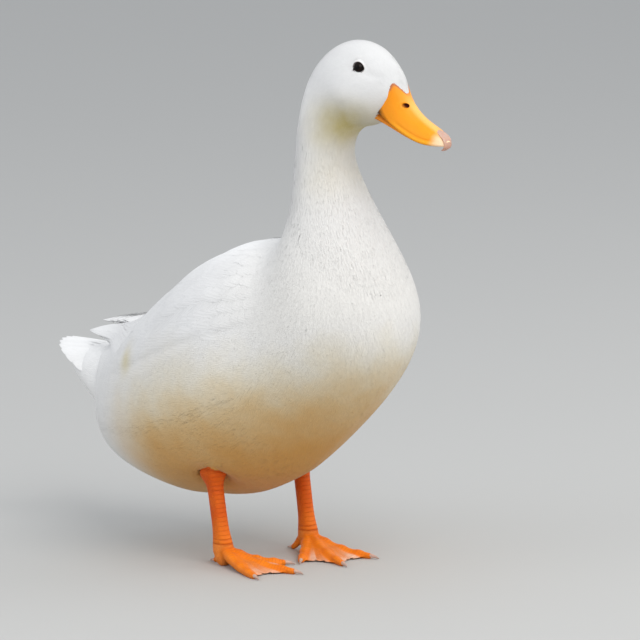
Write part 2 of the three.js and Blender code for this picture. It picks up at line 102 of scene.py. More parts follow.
# How much the underside is drawn to a keel, and how the neck turns the head to the duck's left.
KEEL = 0.35
HEAD_TURN = math.radians(9)
TURN_AXIS = 72
TURN_HEIGHTS = (300, 440)
EYE = {"aside": 21.3, "forward": 128, "height": 470.5, "radius": 5.6}
LID = {"half": 5.05, "band": 2.4, "thick": 0.4, "slope": 0.45}

BILL_CORNER = (140, 432.5)
BILL_DROOP = math.radians(21)
# Stations of the bill: along, top, rim, half width and roundness of the section. A nail hooks over its
# tip, along a line given by along and up.
UPPER_BILL = np.array([
    (-6, 31, 0, 14, 0.4),
    (3, 34, -1, 14.5, 0.4),
    (10, 30.5, -3, 14.5, 0.55),
    (17.5, 24, -5, 14.5, 0.8),
    (26, 18, -6.4, 14.5, 1),
    (36, 13, -7.6, 14.8, 1.1),
    (46, 10, -8.1, 15.4, 1.1),
    (55, 8.4, -7.7, 15.8, 1),
    (63, 6.8, -6.2, 14.2, 0.9),
    (70, 4.8, -4.4, 10.5, 0.9),
    (75, 1.8, -3, 5, 0.9),
])
LOWER_BILL = np.array([
    (-6, 0, -8, 12.8, 0.8),
    (6, -1, -8, 13, 0.8),
    (16, -3, -8, 13, 0.8),
    (32, -5, -9, 12.8, 0.8),
    (48, -5, -9.4, 12.8, 0.8),
    (60, -4, -8, 10.5, 0.8),
    (67, -4, -6.4, 5, 0.8),
])
NAIL_WAY = np.array([(61, 6.4), (67, 5), (72.5, 2.6), (75.5, -3), (73.5, -7.5)])
NAIL = {"half": 5.5, "edge": 0.8, "thick": 2.2}
NOSTRIL = {"along": 25, "up": 14.8, "long": 5.6, "tall": 3.5, "pitch": math.radians(8)}

# The folded wing: how far it stands off, the ribs and angles of its middle line from front to rear, and
# how far it reaches to each side of that.
WING = {
    "thick": 4.5,
    "ribs": (8.7, 3.3),
    "angles": (math.radians(48), math.radians(43)),
    "reach": math.radians(26),
}
# The feathers behind the shoulder stand a little over the lower wing, down to an edge at an angle off
# the back, and fade out between ribs at the rear and the front.
SHOULDER = {
    "thick": 2.4,
    "edge": (math.radians(52), math.radians(61)),
    "rear": (4.5, 5.2),
    "front": (7.2, 8.8),
}
# Where the neck leaves the back the feathers fold in, and under the belly they are drawn up.
SADDLE = {"deep": 7.5, "rib": 8, "long": 2, "angles": (math.radians(60), math.radians(115))}
TUCK = {"deep": 3, "heights": (64, 92), "behind": (-90, -50), "ahead": (40, 80)}
# The soft wedge under the tail feathers, from its root to its end, and how its sides droop.
TAIL_WEDGE = {"forward": (-180, -258), "top": (182, 176), "bottom": (100, 163), "half": (36, 27), "droop": 8}
# A leg's places are aside, forward and height, before its foot is set forward or back.
THIGH = np.array([(50, 26, 152), (58, 8, 124), (56, -8, 101), (52, -14, 86)])
THIGH_RADIUS = (36, 13)
HOCK = np.array([52, -14, 84])
ANKLE = np.array([51, -2, 17])
SHANK = {"wide": 6.8, "deep": 8.2, "hock": 5.2, "ankle": 2.4, "foot": 20, "plate": 4.2}
CUFF_HEIGHT = 95
# A leg's round parts are melted into one surface on small cubes of this side.
MELT_CUBE = 0.75
# The feathers draw back from the leg in a shallow hollow below the cuff.
HOLLOW = {"deep": 9, "wide": 16}
PAD = {"radius": 9, "height": 12, "tall": 13}
# Each toe's angle outwards from the middle one, and its length.
TOES = {"inner": (math.radians(-31), 58), "middle": (0, 79), "outer": (math.radians(33), 70)}
TOE = {"root": 5.6, "tip": 3.1, "swell": 0.7, "instep": 12, "arch": 2.8, "pressed": 0.76, "plate": 3.2}
TOE_JOINTS = (0.26, 0.53, 0.8)
# Creases round the ankle and under the hock: height, width and depth.
CREASES = ((21, 0.9, 1), (25, 0.8, 0.6), (70, 0.9, 0.5), (74, 0.8, 0.4))
WEB = {"thick": 1.4, "from": 0.06, "reach": 0.93, "scallop": 0.12, "sag": 1, "rise": (0.8, -0.15)}
CLAW = {"length": 9, "radius": 1.9, "tip": 0.5, "rows": 28, "sides": 20}
# The small hind toe, and the claw on it.
HALLUX = {"length": 17, "inset": 5, "root_inset": 3, "behind": 5, "height": 15, "radius": (3.8, 2.3)}
SPUR = {"length": 6, "radius": 1.6}
# The folded wing's longest feathers run through two places under the form, each a rib and a height off
# it, then over a bend to a tip. The steps, from the uppermost feather to the undermost, give the root's
# angle off the back in degrees, and how far bend and tip move from the longest one's, aside, forward
# and up. A blade stands steeply: it faces outwards at its root, and its tip turns to face the duck's right.
PRIMARY_ROOTS = ((4.4, -5), (3.2, -1.5))
PRIMARY_BEND = (29, -178, 197)
PRIMARY_TIP = (9, -235, 190)
PRIMARY_STEPS = np.array([(33, -5, 0, 0, 3, 24, 3), (46, 0, 0, 0, 0, 0, 0), (56, 3, 0, -8, 6, 38, -4)])
PRIMARY_COUNT = 7
PRIMARY_HALF = 9
PRIMARY_LEAN = 0.45
# Long thin feathers glow with the light from above, so their faces are shaded as if turned a little up.
SKYWARD = np.array([0, 0, 0.9])
# The fan of the tail: the angle and length of its feathers from the middle one to those at the sides,
# where the middle one's root is, how far the outer roots lie lower, and how much they lean over.
TAIL_FAN = {
    "count": 15,
    "spread": math.radians(22),
    "long": 88,
    "short": 38,
    "half": 11,
    "root": (14, -190, 178),
    "arch": 18,
    "roll": 1.35,
}
# Groups of rows of the folded wing's vanes, undermost first: the lower wing, the long feathers over the
# rump, those behind the shoulder, and small ones at the wing's front. A row runs from its front to its
# rear, each a rib and an angle off the back in degrees with what it gains from row to row. "long" is the
# vanes' length at front and rear and what the rear one gains, and "level" their height and its gain.
WING_GROUPS = (
    {
        "rows": 3, "front": (7.7, 69, -5), "rear": (4.9, 73, -6), "count": 17,
        "long": (44, 60, 8), "half": 11, "turn": 0.05, "level": (0.3, 0.08),
    },
    {
        "rows": 6, "front": (6.2, 54, -6), "rear": (4.6, 53, -6), "count": 9,
        "long": (56, 62, 0), "half": 11, "turn": 0.03, "level": (0.42, 0.05),
    },
    {
        "rows": 8, "front": (8.0, 50, -5.5), "rear": (5.8, 50, -5.5), "count": 13,
        "long": (46, 58, 0), "half": 11, "turn": 0.04, "level": (0.54, 0.06),
    },
    {
        "rows": 8, "front": (8.7, 70, -7), "rear": (7.2, 66, -7), "count": 8,
        "long": (22, 32, 0), "half": 8, "turn": 0.05, "level": (0.3, 0.05),
    },
)
# The skin lies under the feathers by their depth, which is given at some of the ribs, for the wedge of
# the tail, and for a thigh at hip and cuff.
COAT_DEPTH = np.array([(0, 3), (2, 6), (9, 7), (11, 5), (15, 3), (17, 1.6), (LAST_RIB, 1.2)])
WEDGE_DEPTH = 3
THIGH_DEPTH = (8, 5)
# A body feather's length and half width, and how far its tip rises, at some of the ribs.
FEATHER_SIZE = np.array([
    (0, 27, 6),
    (9, 25, 5.8),
    (11, 18, 4.2),
    (13, 13, 2.9),
    (15.5, 9, 2),
    (17.5, 6.4, 1.4),
    (20, 5, 1.1),
    (LAST_RIB, 3.6, 0.85),
])
FEATHER_RISE = np.array([(0, 0.34), (9, 0.2), (12, 0.13), (17, 0.1), (20, 0.08)])
# The distance between roots for each of the other coats, by the place along its form, and how much of
# a thigh is feathered.
DOWN_SPACING = np.array([(0, 4.4)])
THIGH_SPACING = np.array([(0.5, 3), (0.85, 1.7)])
TAIL_SPACING = np.array([(0, 4.2), (1, 3.2)])
THIGH_FEATHERED = (0.5, 0.86)
# The ribs at which the coat's head, neck and breast begin, going forward along the body.
HEAD_FROM, NECK_FROM, BREAST_FROM = 16, 11.2, 7.2
# Roots begin a little way inside the bill, where they are shallow, and off the eyes and the legs. The
# lie of the feathers bends round a post a little larger than the eye, as far as it reaches.
ROOTS = {"in_bill": 0.5, "beside_bill": 1.5, "depth_there": 0.3, "off_eye": 5.7, "off_leg": 1}
EYE_POST = {"radius": 6.2, "reach": 22}

# The camera looks at a point, in millimetres, from far away. Each light is soft and square, and is given
# by its name, place, size, power and tint, in metres and watts.
CAMERA = {
    "target": (34.05, -66.05, 225.0),
    "back": (-0.6984, -0.6984, 0.1564),
    "away": 4500,
    "angle": math.radians(7.534),
}
LIGHTS = (
    ("key", (-0.7, -2.7, 3.0), 3.0, 96, (1.0, 0.98, 0.95)),
    ("fill", (-3.0, 1.0, 2.0), 2.5, 20, (0.97, 0.98, 1.0)),
    ("side", (2.6, -1.7, 1.9), 2.2, 22, (1.0, 0.98, 0.95)),
)
LIT_PLACE = (0, 0, 0.25)
SKY = {"colour": (0.93, 0.96, 1.0, 1), "strength": 0.75}
FLOOR_REACH = 14000


# ---- Plain maths ----
def lerp(a, b, u):
    """From a to b by a share."""
    return a + (b - a) * u


def column(table, number, place):
    """A column of a table whose first column is the place, read between its rows."""
    return np.interp(place, table[:, 0], table[:, number])


def off_back(angle):
    """How far an angle round the body is from the middle of the back, on either side."""
    return np.abs((angle + np.pi) % (2 * np.pi) - np.pi)


def full_turn(columns):
    """Angles once round, without the last, which is the first again."""
    return np.arange(columns) * 2 * np.pi / columns


def closed_grid(first, last, rows, columns):
    """The two parameters of a surface that closes round itself: rows from first to last, and angles."""
    return np.meshgrid(np.linspace(first, last, rows), full_turn(columns), indexing="ij")


def dome(u):
    """A quarter circle: 1 at zero and below, falling to 0 at one."""
    return np.sqrt(np.clip(1 - np.maximum(0, u) ** 2, 0, 1))


def bump(u, centre, width):
    """A bell of height 1 about its centre."""
    return np.exp(-(((u - centre) / width) ** 2))


def smooth(u, low, high):
    """0 below low and 1 above high, with a soft rise between them."""
    s = np.clip((u - low) / (high - low), 0, 1)
    return s * s * (3 - 2 * s)


def unit(v):
    """Vectors at length one."""
    return v / np.maximum(np.linalg.norm(v, axis=-1, keepdims=True), 1e-9)


def spline(rows, t):
    """A uniform cubic B-spline through rows of numbers: each point is the mean of four rows, weighted
    by the cubic basis, and rows past an end carry on in a straight line."""
    ends = 3
    before = [rows[0] + k * (rows[0] - rows[1]) for k in range(ends, 0, -1)]
    after = [rows[-1] + k * (rows[-1] - rows[-2]) for k in range(1, ends + 1)]
    padded = np.vstack([before, rows, after])
    t = np.asarray(t, float)
    i = np.clip(np.floor(t).astype(int), 1 - ends, len(rows) - 1)
    f = (t - i)[..., None]
    weights = ((1 - f) ** 3, 3 * f**3 - 6 * f**2 + 4, -3 * f**3 + 3 * f**2 + 3 * f + 1, f**3)
    return sum(w * padded[np.clip(i + k + ends - 1, 0, len(padded) - 1)] for k, w in enumerate(weights)) / 6


def through(points, count):
    """A smooth line of count points through the given ones: each span is the Catmull-Rom cubic."""
    points = np.asarray(points, float)
    padded = np.vstack([2 * points[0] - points[1], points, 2 * points[-1] - points[-2]])
    t = np.linspace(0, len(points) - 1, count)
    i = np.minimum(t.astype(int), len(points) - 2)
    f = (t - i)[:, None]
    a, b, c, d = (padded[i + k] for k in range(4))
    return 0.5 * (2 * b + (c - a) * f + (2 * a - 5 * b + 4 * c - d) * f**2 + (3 * b - a - 3 * c + d) * f**3)


def drift(points, size, seed):
    """A soft random field about zero: the mean of eight sine waves in random directions."""
    rng = np.random.default_rng(seed)
    ways = unit(rng.normal(size=(8, 3))) * (2 * np.pi / size) * rng.uniform(0.6, 1.4, (8, 1))
    return np.sin(points @ ways.T + rng.uniform(0, 2 * np.pi, 8)).mean(-1) * 2


def at(aside, forward, height):
    """A place in the frame, in millimetres, from the duck's own words."""
    aside, forward, height = np.broadcast_arrays(aside, forward, height)
    return np.stack([aside, -forward - ORIGIN_BEHIND_FEET, height], -1).astype(float)


def turned(spot, angle=None):
    """A place once the neck has turned it. The turn grows with height unless an angle is given."""
    aside, forward, height = np.moveaxis(np.asarray(spot, float), -1, 0)
    if angle is None:
        angle = HEAD_TURN * smooth(height, *TURN_HEIGHTS)
    reach = forward - TURN_AXIS
    return at(
        aside * np.cos(angle) + reach * np.sin(angle),
        TURN_AXIS + reach * np.cos(angle) - aside * np.sin(angle),
        height,
    )


# ---- Forms ----
def body_form(t, angle):
    """A rib's outline: aside is the half width times the sine of the angle off the back, raised to a
    keel power below, and the way from underside to back is a share with the cosine of the angle."""
    back_f, back_z, under_f, under_z, half, widest = np.moveaxis(spline(RIBS, t), -1, 0)
    c, s = np.cos(angle), np.sin(angle)
    share = np.where(c > 0, widest + (1 - widest) * c, widest * (1 + c))
    keel = 1 + KEEL * np.sqrt(np.maximum(0, -c)) * bump(t, 7, 3)
    aside = half * np.sign(s) * np.abs(s) ** keel
    spot = np.stack([aside, lerp(under_f, back_f, share), lerp(under_z, back_z, share)], -1)
    tall = np.hypot(back_f - under_f, back_z - under_z)
    lean = unit(np.stack([s / half, 2 * c / tall], -1))
    up = np.stack([np.zeros_like(tall), (back_f - under_f) / tall, (back_z - under_z) / tall], -1)
    out = lean[..., :1] * np.array([1.0, 0, 0]) + lean[..., 1:] * up
    return turned(spot + out * relief(t, angle, spot)[..., None])


def relief(t, angle, spot):
    """How far the form stands off the plain ribs. The folded wing is a dome about its middle line, on
    which the shoulder's feathers make a low step. The saddle is a bell along the ribs, and the belly is
    drawn up between the tuck's bounds. The side of the head has four bells: the hollow about the eye,
    the longer one before it, the brow and the cheek."""
    off = off_back(angle)
    s = (WING["ribs"][0] - t) / (WING["ribs"][0] - WING["ribs"][1])
    middle = lerp(*WING["angles"], s)
    inside = smooth(s, 0, 0.3) * (1 - smooth(s, 0.8, 1.15))
    wing = WING["thick"] * dome(np.abs(off - middle) / WING["reach"]) * inside
    shoulder = SHOULDER["thick"] * (1 - smooth(off, *SHOULDER["edge"]))
    shoulder = shoulder * smooth(t, *SHOULDER["rear"]) * (1 - smooth(t, *SHOULDER["front"]))
    saddle = SADDLE["deep"] * bump(t, SADDLE["rib"], SADDLE["long"]) * (1 - smooth(off, *SADDLE["angles"]))
    aside, forward, height = np.moveaxis(spot, -1, 0)
    tuck = TUCK["deep"] * (1 - smooth(height, *TUCK["heights"]))
    tuck = tuck * smooth(forward, *TUCK["behind"]) * (1 - smooth(forward, *TUCK["ahead"]))
    face = smooth(np.abs(aside), 6, 16)
    d_f, d_z = forward - EYE["forward"], height - EYE["height"]
    along = (d_f * 0.9 - d_z * 0.44 - 11) / 10
    across = (d_f * 0.44 + d_z * 0.9) / 4
    hollow = -1.1 * np.exp(-(d_f**2 + d_z**2) / 90) - 1.3 * np.exp(-along**2 - across**2)
    brow = 0.9 * np.exp(-((d_f + 3) / 10) ** 2 - ((d_z - 11) / 5) ** 2)
    cheek = 1.8 * np.exp(-((d_f + 14) / 13) ** 2 - ((d_z + 25) / 12) ** 2)
    head = face * (hollow + brow + cheek)
    return wing + shoulder - saddle - tuck + head - leg_hollow(aside, forward, height)


def leg_hollow(aside, forward, height):
    """How far the feathers draw back from a leg: a bell about its line, ending above the cuff."""
    side = np.where(aside > 0, STEPPED["left"], STEPPED["right"])
    u = (HOCK[2] - height) / (HOCK[2] - ANKLE[2])
    leg_aside, leg_forward = lerp(HOCK[0], ANKLE[0], u), lerp(HOCK[1], ANKLE[1], u) + side
    away = np.hypot(np.abs(aside) - leg_aside, forward - leg_forward)
    below = 1 - smooth(height, CUFF_HEIGHT - 2, CUFF_HEIGHT + 8)
    return HOLLOW["deep"] * bump(away, 0, HOLLOW["wide"]) * below


def wedge_form(u, angle):
    """The soft wedge under the tail feathers: ovals whose width and height close towards its end."""
    s = np.clip(u, -0.5, 1.2)
    top = lerp(*TAIL_WEDGE["top"], s)
    bottom = lerp(*TAIL_WEDGE["bottom"], np.clip(s, 0, 1) ** 1.3)
    half = lerp(*TAIL_WEDGE["half"], s) * np.maximum(0.2, dome((s - 0.3) / 0.78))
    height = lerp(bottom, top, (1 + np.cos(angle)) / 2) - TAIL_WEDGE["droop"] * np.sin(angle) ** 2 * s
    return at(half * np.sin(angle), lerp(*TAIL_WEDGE["forward"], s), height)


def thigh_form(side):
    """Circles carried down the thigh's line, closing from the hip to the cuff."""
    stepped = np.outer(np.linspace(0, STEPPED[side], len(THIGH)), [0, 1, 0])
    line = through(THIGH * [SIDES[side], 1, 1] + stepped, 40)
    centre = at(*line.T)
    along = unit(np.gradient(centre, axis=0))
    back = unit(np.cross(along, [1.0, 0, 0]))
    across = np.cross(back, along)

    def form(u, angle):
        place = np.clip(u, 0, 1) * (len(line) - 1)

        def pick(rows):
            return np.stack([np.interp(place, np.arange(len(line)), row) for row in rows.T], -1)

        radius = lerp(*THIGH_RADIUS, np.clip(u, 0, 1) ** 0.8)[..., None]
        c, s = np.cos(angle)[..., None], np.sin(angle)[..., None]
        return pick(centre) + pick(across) * radius * 0.92 * c + pick(back) * radius * s

    return form


class Form:
    """A closed-around surface held on a fine grid, so that places, ways out and stretches anywhere on
    it are read by blending the four nearest grid points."""

    def __init__(self, function, first, last, rows, columns=256, lie=-1):
        self.first, self.last, self.rows, self.columns, self.lie = first, last, rows, columns, lie
        self.t = np.linspace(first, last, rows)
        self.angle = full_turn(columns)
        self.points = function(*np.meshgrid(self.t, self.angle, indexing="ij"))
        step = (last - first) / (rows - 1)
        self.along = np.gradient(self.points, step, axis=0)
        ring = np.roll(self.points, -1, 1) - np.roll(self.points, 1, 1)
        self.around = ring / (4 * np.pi / columns)
        normal = unit(np.cross(self.around, self.along))
        middle = self.points.mean(1, keepdims=True)
        outward = np.sign(((self.points - middle) * normal).sum(-1).mean())
        self.normal = normal * outward

    def read(self, grid, t, angle):
        """A grid's value at places between its points, blended from the four about each."""
        x = np.clip((t - self.first) / (self.last - self.first), 0, 1) * (self.rows - 1)
        y = (angle % (2 * np.pi)) / (2 * np.pi) * self.columns
        i = np.minimum(x.astype(int), self.rows - 2)
        j = y.astype(int) % self.columns
        k = (j + 1) % self.columns
        f, g = (x - i)[..., None], (y - y.astype(int))[..., None]
        here = grid[i, j] * (1 - g) + grid[i, k] * g
        onward = grid[i + 1, j] * (1 - g) + grid[i + 1, k] * g
        return here * (1 - f) + onward * f

    def place(self, t, angle, out=0.0):
        """The surface's point, moved off it by a distance."""
        normal = unit(self.read(self.normal, t, angle))
        return self.read(self.points, t, angle) + normal * np.asarray(out, float)[..., None]

    def unwrap(self, t, angle):
        """A place's two numbers on a flat map of the form: how far round it is, and how far along."""
        turn = (angle % (2 * np.pi)) / (2 * np.pi)
        return np.stack([turn, (t - self.first) / (self.last - self.first)], -1)

    def stretch(self, t, angle):
        """Millimetres for one step of each parameter."""
        along = np.linalg.norm(self.read(self.along, t, angle), axis=-1)
        around = np.linalg.norm(self.read(self.around, t, angle), axis=-1)
        return np.maximum(along, 1e-3), np.maximum(around, 1e-3)

    def scatter(self, t_range, angle_range, spacing, rng):
        """Roots spread evenly: many random points, as many to each patch as its area asks, thinned to
        the one nearest the middle of each small cube, whose side is the wanted spacing there, rounded to
        the nearest of a few sizes that each are a step larger than the last. The spacing is a table by
        the first parameter."""
        crowd, step = 7, math.log(1.15)
        t = self.t[:-1]
        t = t[(t >= t_range[0]) & (t < t_range[1])]
        angle = self.angle[(self.angle >= angle_range[0] - 1e-9) & (self.angle < angle_range[1] - 1e-9)]
        t, angle = (g.ravel() for g in np.meshgrid(t, angle, indexing="ij"))
        step_t = (self.last - self.first) / (self.rows - 1)
        step_angle = 2 * np.pi / self.columns
        area = np.prod(self.stretch(t, angle), axis=0) * step_t * step_angle
        count = rng.poisson(crowd * area / column(spacing, 1, t) ** 2)
        t, angle = np.repeat(t, count), np.repeat(angle, count)
        t = t + rng.random(len(t)) * step_t
        angle = angle + rng.random(len(angle)) * step_angle
        level = np.round(np.log(column(spacing, 1, t)) / step)
        side = np.exp(level * step)[:, None]
        cell = self.read(self.points, t, angle) / side
        cube = np.floor(cell)
        off = ((cell - cube - 0.5) ** 2).sum(1)
        order = np.lexsort((off, cube[:, 0], cube[:, 1], cube[:, 2], level))
        keys = np.column_stack([level, cube])[order]
        first = np.ones(len(keys), bool)
        first[1:] = (keys[1:] != keys[:-1]).any(1)
        chosen = order[first]
        return t[chosen], angle[chosen]


# ---- Meshes ----
def mesh_object(name, points, faces, material, uv=None, values=None):
    """A piece from points in millimetres and rows of faces, with its place in its mesh. It may have a
    map for the bake, and numbers at its points that its material reads."""
    mesh = bpy.data.meshes.new(name)
    faces = [np.asarray(rows, np.int32) for rows in faces if len(rows)]
    corners = np.concatenate([rows.ravel() for rows in faces])
    sizes = np.concatenate([np.full(len(rows), rows.shape[1], np.int32) for rows in faces])
    points = np.asarray(points, np.float32).reshape(-1, 3) * MM
    mesh.vertices.add(len(points))
    mesh.vertices.foreach_set("co", points.ravel())
    mesh.loops.add(len(corners))
    mesh.loops.foreach_set("vertex_index", corners)
    mesh.polygons.add(len(sizes))
    mesh.polygons.foreach_set("loop_start", np.concatenate([[0], np.cumsum(sizes)[:-1]]).astype(np.int32))
    mesh.polygons.foreach_set("use_smooth", np.ones(len(sizes), bool))
    if uv is not None:
        layer = mesh.uv_layers.new(name="OFBake")
        layer.uv.foreach_set("vector", np.asarray(uv, np.float32).reshape(-1, 2)[corners].ravel())
    for key, numbers in (values or {}).items():
        attribute = mesh.attributes.new(key, "FLOAT", "POINT")
        attribute.data.foreach_set("value", np.asarray(numbers, np.float32).ravel())
    mesh.update(calc_edges=True)
    mesh.validate()
    mesh.materials.append(material)
    piece = bpy.data.objects.new(name, mesh)
    bpy.context.scene.collection.objects.link(piece)
    return piece


def lattice(rows, columns, closed=True, flip=False):
    """The four-cornered faces of a grid of points, joined round where it is closed."""
    i, j = np.meshgrid(np.arange(rows - 1), np.arange(columns if closed else columns - 1), indexing="ij")
    k = (j + 1) % columns
    quads = np.stack([i * columns + j, (i + 1) * columns + j, (i + 1) * columns + k, i * columns + k], -1)
    quads = quads.reshape(-1, 4)
    return quads[:, ::-1] if flip else quads


def shell(rings):
    """A closed body through rings of points: the grid between them, and a fan over each end. Its
    faces are turned so that they point out, by the sign of its volume."""
    rows, columns = rings.shape[:2]
    points = np.vstack([rings.reshape(-1, 3), rings[0].mean(0), rings[-1].mean(0)])
    quads = lattice(rows, columns)
    j = np.arange(columns)
    k = (j + 1) % columns
    last = (rows - 1) * columns
    near = np.stack([np.full(columns, rows * columns), j, k], -1)
    far = np.stack([np.full(columns, rows * columns + 1), last + k, last + j], -1)
    tris = np.vstack([near, far])
    a, b, c, d = (points[quads[:, n]] for n in range(4))
    volume = (a * np.cross(b, c)).sum() + (a * np.cross(c, d)).sum()
    if volume <= 0:
        quads, tris = quads[:, ::-1], tris[:, ::-1]
    return points, quads, tris


def with_ends(grid):
    """Numbers for a shell's points: those of its rings, and the end rings' means for its two ends."""
    return np.concatenate([grid.ravel(), [grid[0].mean(), grid[-1].mean()]])


def gather(shells):
    """Several bodies as one list of points and faces."""
    start = np.cumsum([0] + [len(s[0]) for s in shells])
    points = np.vstack([s[0] for s in shells])
    quads = np.vstack([s[1] + n for s, n in zip(shells, start)])
    tris = np.vstack([s[2] + n for s, n in zip(shells, start)])
    return points, quads, tris


def sweep(line, across, wide, deep, sides=24):
    """An oval carried along a line: wide lies along `across`, deep is square to it and to the line."""
    along = unit(np.gradient(line, axis=0))
    b = unit(np.cross(along, across))
    a = np.cross(b, along)
    angle = full_turn(sides)
    c, s = np.cos(angle)[None, :, None], np.sin(angle)[None, :, None]
    wide, deep = (np.broadcast_to(r, len(line))[:, None, None] for r in (wide, deep))
    return shell(line[:, None] + a[:, None] * wide * c + b[:, None] * deep * s)


def on_bill(aside, along, up):
    """A place on the bill, from the corner of the mouth: along it towards the tip, and up square to that."""
    forward = BILL_CORNER[0] + along * math.cos(BILL_DROOP) + up * math.sin(BILL_DROOP)
    height = BILL_CORNER[1] - along * math.sin(BILL_DROOP) + up * math.cos(BILL_DROOP)
    aside, forward, height = np.broadcast_arrays(aside, forward, height)
    return turned(np.stack([aside, forward, height], -1), HEAD_TURN)


def from_bill(points):
    """The bill's own aside, along and up of places in the frame: on_bill worked backwards."""
    x, y, height = np.moveaxis(points, -1, 0)
    forward = -y - ORIGIN_BEHIND_FEET - TURN_AXIS
    c, s = math.cos(HEAD_TURN), math.sin(HEAD_TURN)
    aside, reach = x * c - forward * s, x * s + forward * c
    f, z = reach + TURN_AXIS - BILL_CORNER[0], height - BILL_CORNER[1]
    c, s = math.cos(BILL_DROOP), math.sin(BILL_DROOP)
    return aside, f * c - z * s, f * s + z * c


def inside_bill(points, margin=0.0):
    """Whether places lie in the upper bill: inside the rounded arch of the station at their place."""
    aside, along, up = from_bill(points)
    stations = spline(UPPER_BILL, np.linspace(0, len(UPPER_BILL) - 1, 200))
    top, rim, half, rounded = (np.interp(along, stations[:, 0], stations[:, k]) for k in range(1, 5))
    across = np.abs(aside) / (half + margin)
    over = np.maximum(0, up - rim) / (top - rim + margin)
    arch = across ** (2 / rounded) + over ** (2 / rounded)
    return (arch < 1) & (up > rim - 4 - margin) & (along > stations[0, 0])


def eye_place(side):
    """The middle of an eye."""
    return turned(np.array([side * EYE["aside"], EYE["forward"], EYE["height"]]))


def eye_axes(side):
    """The eye's own axes: out of the head, forwards along the lids, and up square to both."""
    ahead = np.array([math.sin(HEAD_TURN), -math.cos(HEAD_TURN), 0])
    out = side * np.array([math.cos(HEAD_TURN), math.sin(HEAD_TURN), 0])
    out = unit(out + 0.16 * ahead + [0, 0, 0.1])
    ahead = unit(ahead - [0, 0, 0.3])
    ahead = unit(ahead - out * (ahead @ out))
    up = np.cross(ahead, out)
    return out, ahead, up if up[2] > 0 else -up


# ---- Feathers ----
def lay(form, roots, yaw, long, half, heights, shape):
    """Vanes laid on a form. The middle of each walks from its root along the lie, step by step, by the
    surface's own stretch at each step. Its columns stand off the middle by the vane's width there and
    fall short of its end by their own share, which rounds and frays the tip. Its height off the form
    starts sunk in the skin, comes up to its level by a power of what is left of the way, rises evenly
    to the tip and drops towards the edges."""
    t, angle = (np.array(r, float) for r in roots)
    rows, columns = shape["rows"], shape["columns"]
    v = np.linspace(0, 1, rows)
    w = np.linspace(-1, 1, columns)
    rng = np.random.default_rng(len(t) + rows)
    fray = rng.uniform(-1, 1, (len(t), columns)) * shape["fray"]
    reach = 1 - shape["round"] * np.abs(w) ** 2.2 + fray
    profile = np.interp(v, [0, 0.35, 0.75, 1], shape["profile"])
    c, s = np.cos(yaw), np.sin(yaw)
    points = np.empty((len(t), rows, columns, 3))
    normals = np.empty_like(points)
    sunk, level, rise, camber = heights
    step = np.asarray(long, float) / (rows - 1)
    for k in range(rows):
        along, around = form.stretch(t, angle)
        p = (long * v[k])[:, None] * (reach - 1)
        q = np.asarray(half, float)[:, None] * w * profile[k]
        spot_t = t[:, None] + form.lie * (p * c[:, None] - q * s[:, None]) / along[:, None]
        spot_angle = angle[:, None] + (p * s[:, None] + q * c[:, None]) / around[:, None]
        height = level + rise * v[k] - (sunk + level) * (1 - v[k]) ** shape["steep"] - camber * w**2 * v[k]
        points[:, k] = form.place(spot_t, spot_angle, np.broadcast_to(height, spot_t.shape))
        normals[:, k] = unit(form.read(form.normal, spot_t, spot_angle))
        t = t + form.lie * step * c / along
        angle = angle + step * s / around
    return points, normals, v, w


def vane_mesh(name, batches, blades=(), softness=0.8):
    """One joined mesh of many vanes and stiff blades. Each one's patch of the bake's map is a small
    square at its root's place on the form's own unwrap. A vane's normals lean towards those of the form
    under it, by its softness."""
    points, quads, tris, leans, places, patches = [], [], [], [], [], []
    values = {"tint": [], "along": [], "across": []}
    start = 0
    for batch in batches:
        spots, normals, v, w = batch["vanes"]
        count, rows, columns = spots.shape[:3]
        own = unit(np.cross(np.gradient(spots, axis=1), np.gradient(spots, axis=2)))
        facing = np.sign((own * normals).sum(-1).mean())
        offsets = start + np.arange(count)[:, None, None] * rows * columns
        quads.append((lattice(rows, columns, closed=False, flip=facing < 0)[None] + offsets).reshape(-1, 4))
        points.append(spots.reshape(-1, 3))
        leans.append(unit(lerp(own * facing, normals, softness)).reshape(-1, 3))
        patch = np.stack(np.meshgrid(v - 0.5, w / 2, indexing="ij"), -1)[..., ::-1].reshape(-1, 2)
        patches.append(np.tile(patch, (count, 1)))
        places.append(np.repeat(batch["places"], rows * columns, 0))
        ones = np.ones((count, rows, columns))
        values["tint"].append((ones * batch["tint"][:, None, None]).ravel())
        values["along"].append((ones * v[:, None]).ravel())
        values["across"].append((ones * w).ravel())
        start += count * rows * columns
    for n, (rings, faced, w, place) in enumerate(blades):
        body, body_quads, body_tris = shell(rings)
        v = np.append(np.repeat(np.linspace(0, 1, len(rings)), len(w)), [0, 1])
        flat = np.append(np.tile(w, len(rings)), [0, 0])
        points.append(body)
        quads.append(body_quads + start)
        tris.append(body_tris + start)
        leans.append(shell_normals(rings, faced))
        patches.append(np.stack([flat / 2, v - 0.5], -1))
        places.append(np.tile(place, (len(v), 1)))
        values["tint"].append(np.full(len(v), (n * 0.618) % 1))
        values["along"].append(v)
        values["across"].append(flat)
        start += len(v)
    places = np.vstack(places)
    low, high = places.min(0), places.max(0)
    uv = 0.01 + 0.98 * (places - low) / (high - low) + np.vstack(patches) * BAKE_PATCH
    values = {key: np.concatenate(parts) for key, parts in values.items()}
    piece = mesh_object(name, np.vstack(points), [*quads, *tris], plumage(), uv, values)
    lean = piece.data.attributes.new("custom_normal", "FLOAT_VECTOR", "POINT")
    lean.data.foreach_set("vector", np.vstack(leans).astype(np.float32).ravel())
    return piece


